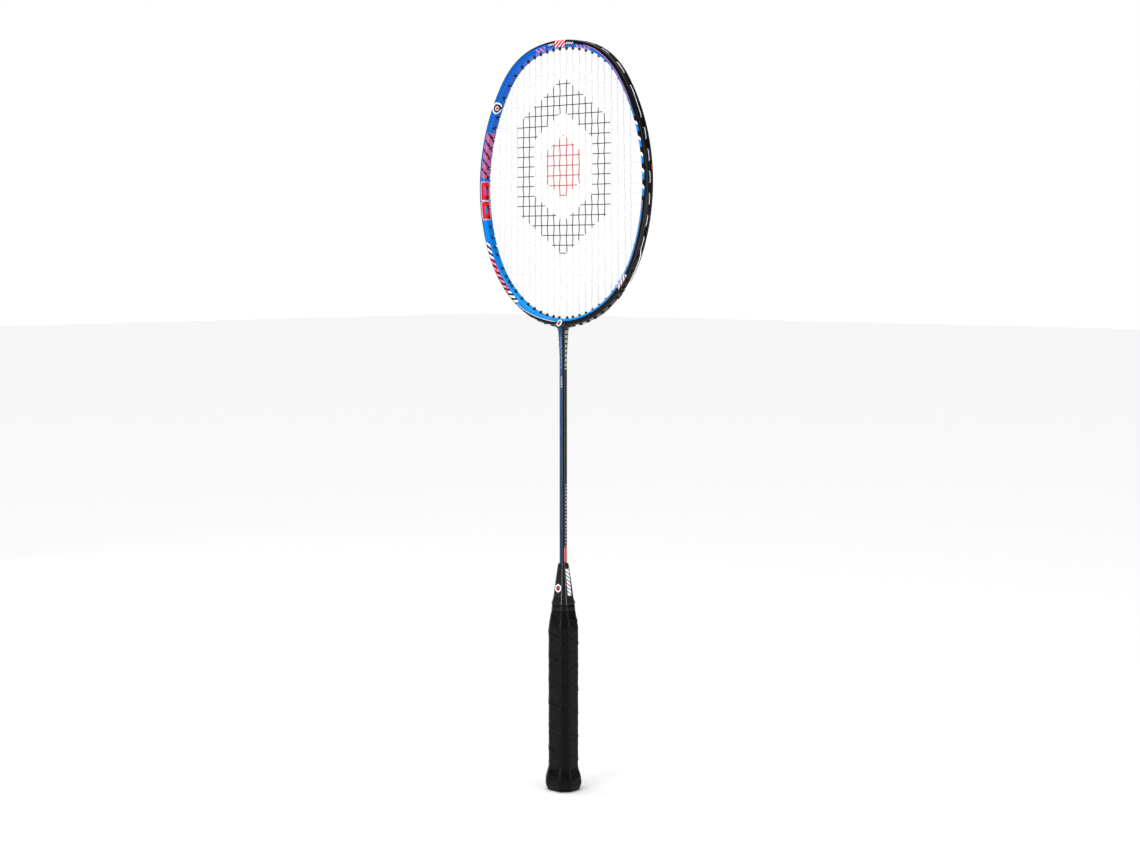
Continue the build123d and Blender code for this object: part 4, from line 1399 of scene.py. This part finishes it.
def woodMaterial():
    material, tree, shader = newMaterial("handleWood")
    whole = objectPlace(tree)
    stretch = makeNode(tree, "ShaderNodeMapping")
    feed(tree, stretch.inputs["Vector"], whole)
    stretch.inputs["Scale"].default_value = (1.0, 1.0, 0.06)
    grain = noiseOf(tree, stretch.outputs[0], 420.0, 5.0, 0.6)
    rings = noiseOf(tree, stretch.outputs[0], 90.0, 3.0)
    colour = blend(tree, grain, (0.42, 0.25, 0.12, 1.0), (0.62, 0.42, 0.23, 1.0))
    colour = blend(tree, maths(tree, "MULTIPLY", rings, 0.5), colour, (0.34, 0.18, 0.08, 1.0))
    feed(tree, shader.inputs["Base Color"], colour)
    feed(tree, shader.inputs["Roughness"], rescale(tree, grain, 0.2, 0.8, 0.55, 0.75))
    addBump(tree, shader, grain, 0.3, 0.0001)
    return material


def dress(node, material):
    thing = nodes[node]
    if not thing.material_slots:
        thing.data.materials.append(material)
    for slot in thing.material_slots:
        slot.material = material


dress("handle_core", woodMaterial())
dress("t_piece", plainFinish("coreResin", (0.05, 0.05, 0.055, 1.0), 0.5, 0.15, 1200.0, 0.3))
dress(
    "butt_staples",
    plainFinish("stapleSteel", (0.55, 0.56, 0.58, 1.0), 0.32, 0.12, 1500.0, 0.15, metallic=1.0),
)


# floor, light and camera

def makeFloor():
    mesh = bpy.data.meshes.new("floor")
    reach = 12.0
    mesh.from_pydata(
        [(-reach, -reach, 0), (reach, -reach, 0), (reach, reach, 0), (-reach, reach, 0)], [], [(0, 1, 2, 3)]
    )
    floor = bpy.data.objects.new("floor", mesh)
    scene.collection.objects.link(floor)
    material, tree, shader = newMaterial("paleFloor")
    grain = noiseOf(tree, objectPlace(tree), 30.0, 3.0)
    feed(
        tree,
        shader.inputs["Base Color"],
        blend(tree, grain, (0.745, 0.745, 0.745, 1.0), (0.765, 0.765, 0.765, 1.0)),
    )
    shader.inputs["Roughness"].default_value = 0.9
    shader.inputs["Specular IOR Level"].default_value = 0.1
    mesh.materials.append(material)


def areaLight(name, place, target, size, power, colour=(1.0, 1.0, 1.0)):
    data = bpy.data.lights.new(name, "AREA")
    data.shape, data.size, data.size_y = "RECTANGLE", size[0], size[1]
    data.energy, data.color = power, colour
    light = bpy.data.objects.new(name, data)
    light.location = place
    light.rotation_euler = (Vector(target) - Vector(place)).to_track_quat("-Z", "Y").to_euler()
    scene.collection.objects.link(light)


def makeLight():
    world = bpy.data.worlds.new("studio")
    scene.world = world
    world.use_nodes = True
    tree = world.node_tree
    background = tree.nodes["Background"]
    seen = makeNode(tree, "ShaderNodeLightPath").outputs["Is Camera Ray"]
    feed(tree, background.inputs["Color"], blend(tree, seen, grey(0.16), grey(1.0)))
    background.inputs["Strength"].default_value = 1.0
    sun = bpy.data.lights.new("sun", "SUN")
    sun.energy, sun.angle = 3.5, math.radians(80)
    thing = bpy.data.objects.new("sun", sun)
    thing.rotation_euler = (math.radians(9), math.radians(-2), 0.0)
    scene.collection.objects.link(thing)
    areaLight("softboxFront", (0.07, -1.60, 0.42), (0.0, 0.0, 0.34), (0.58, 1.30), 15.0, (0.94, 0.96, 1.0))
    areaLight("softboxSide", (1.60, 0.07, 0.42), (0.0, 0.0, 0.34), (0.52, 1.30), 12.0, (0.94, 0.96, 1.0))
    areaLight("softboxLeft", (-1.50, -0.25, 0.60), (0.0, 0.0, 0.50), (0.30, 1.10), 5.0)


cameraSizes = {
    "distance": 1.7165,
    "eyeHeight": 0.4777,
    "azimuth": 42.387,
    "pitch": 4.876,
    "pan": -0.202,
    "lens": 60.48,
    "sensor": 36.0,
}


def makeCamera():
    # eye at a distance and azimuth round the racket, its line tipped down a little
    distance, eyeHeight = cameraSizes["distance"], cameraSizes["eyeHeight"]
    azimuth, pitch, pan = (math.radians(cameraSizes[key]) for key in ("azimuth", "pitch", "pan"))
    data = bpy.data.cameras.new("camera")
    data.lens, data.sensor_width = cameraSizes["lens"], cameraSizes["sensor"]
    data.clip_start, data.clip_end = 0.01, 100.0
    camera = bpy.data.objects.new("camera", data)
    camera.location = (distance * math.sin(azimuth), -distance * math.cos(azimuth), eyeHeight)
    yaw = azimuth + pan
    ahead = Vector((-math.sin(yaw) * math.cos(pitch), math.cos(yaw) * math.cos(pitch), -math.sin(pitch)))
    camera.rotation_euler = ahead.to_track_quat("-Z", "Y").to_euler()
    scene.collection.objects.link(camera)
    scene.camera = camera


makeFloor()
makeLight()
makeCamera()
scene.view_settings.view_transform = "Standard"
print("stage set")
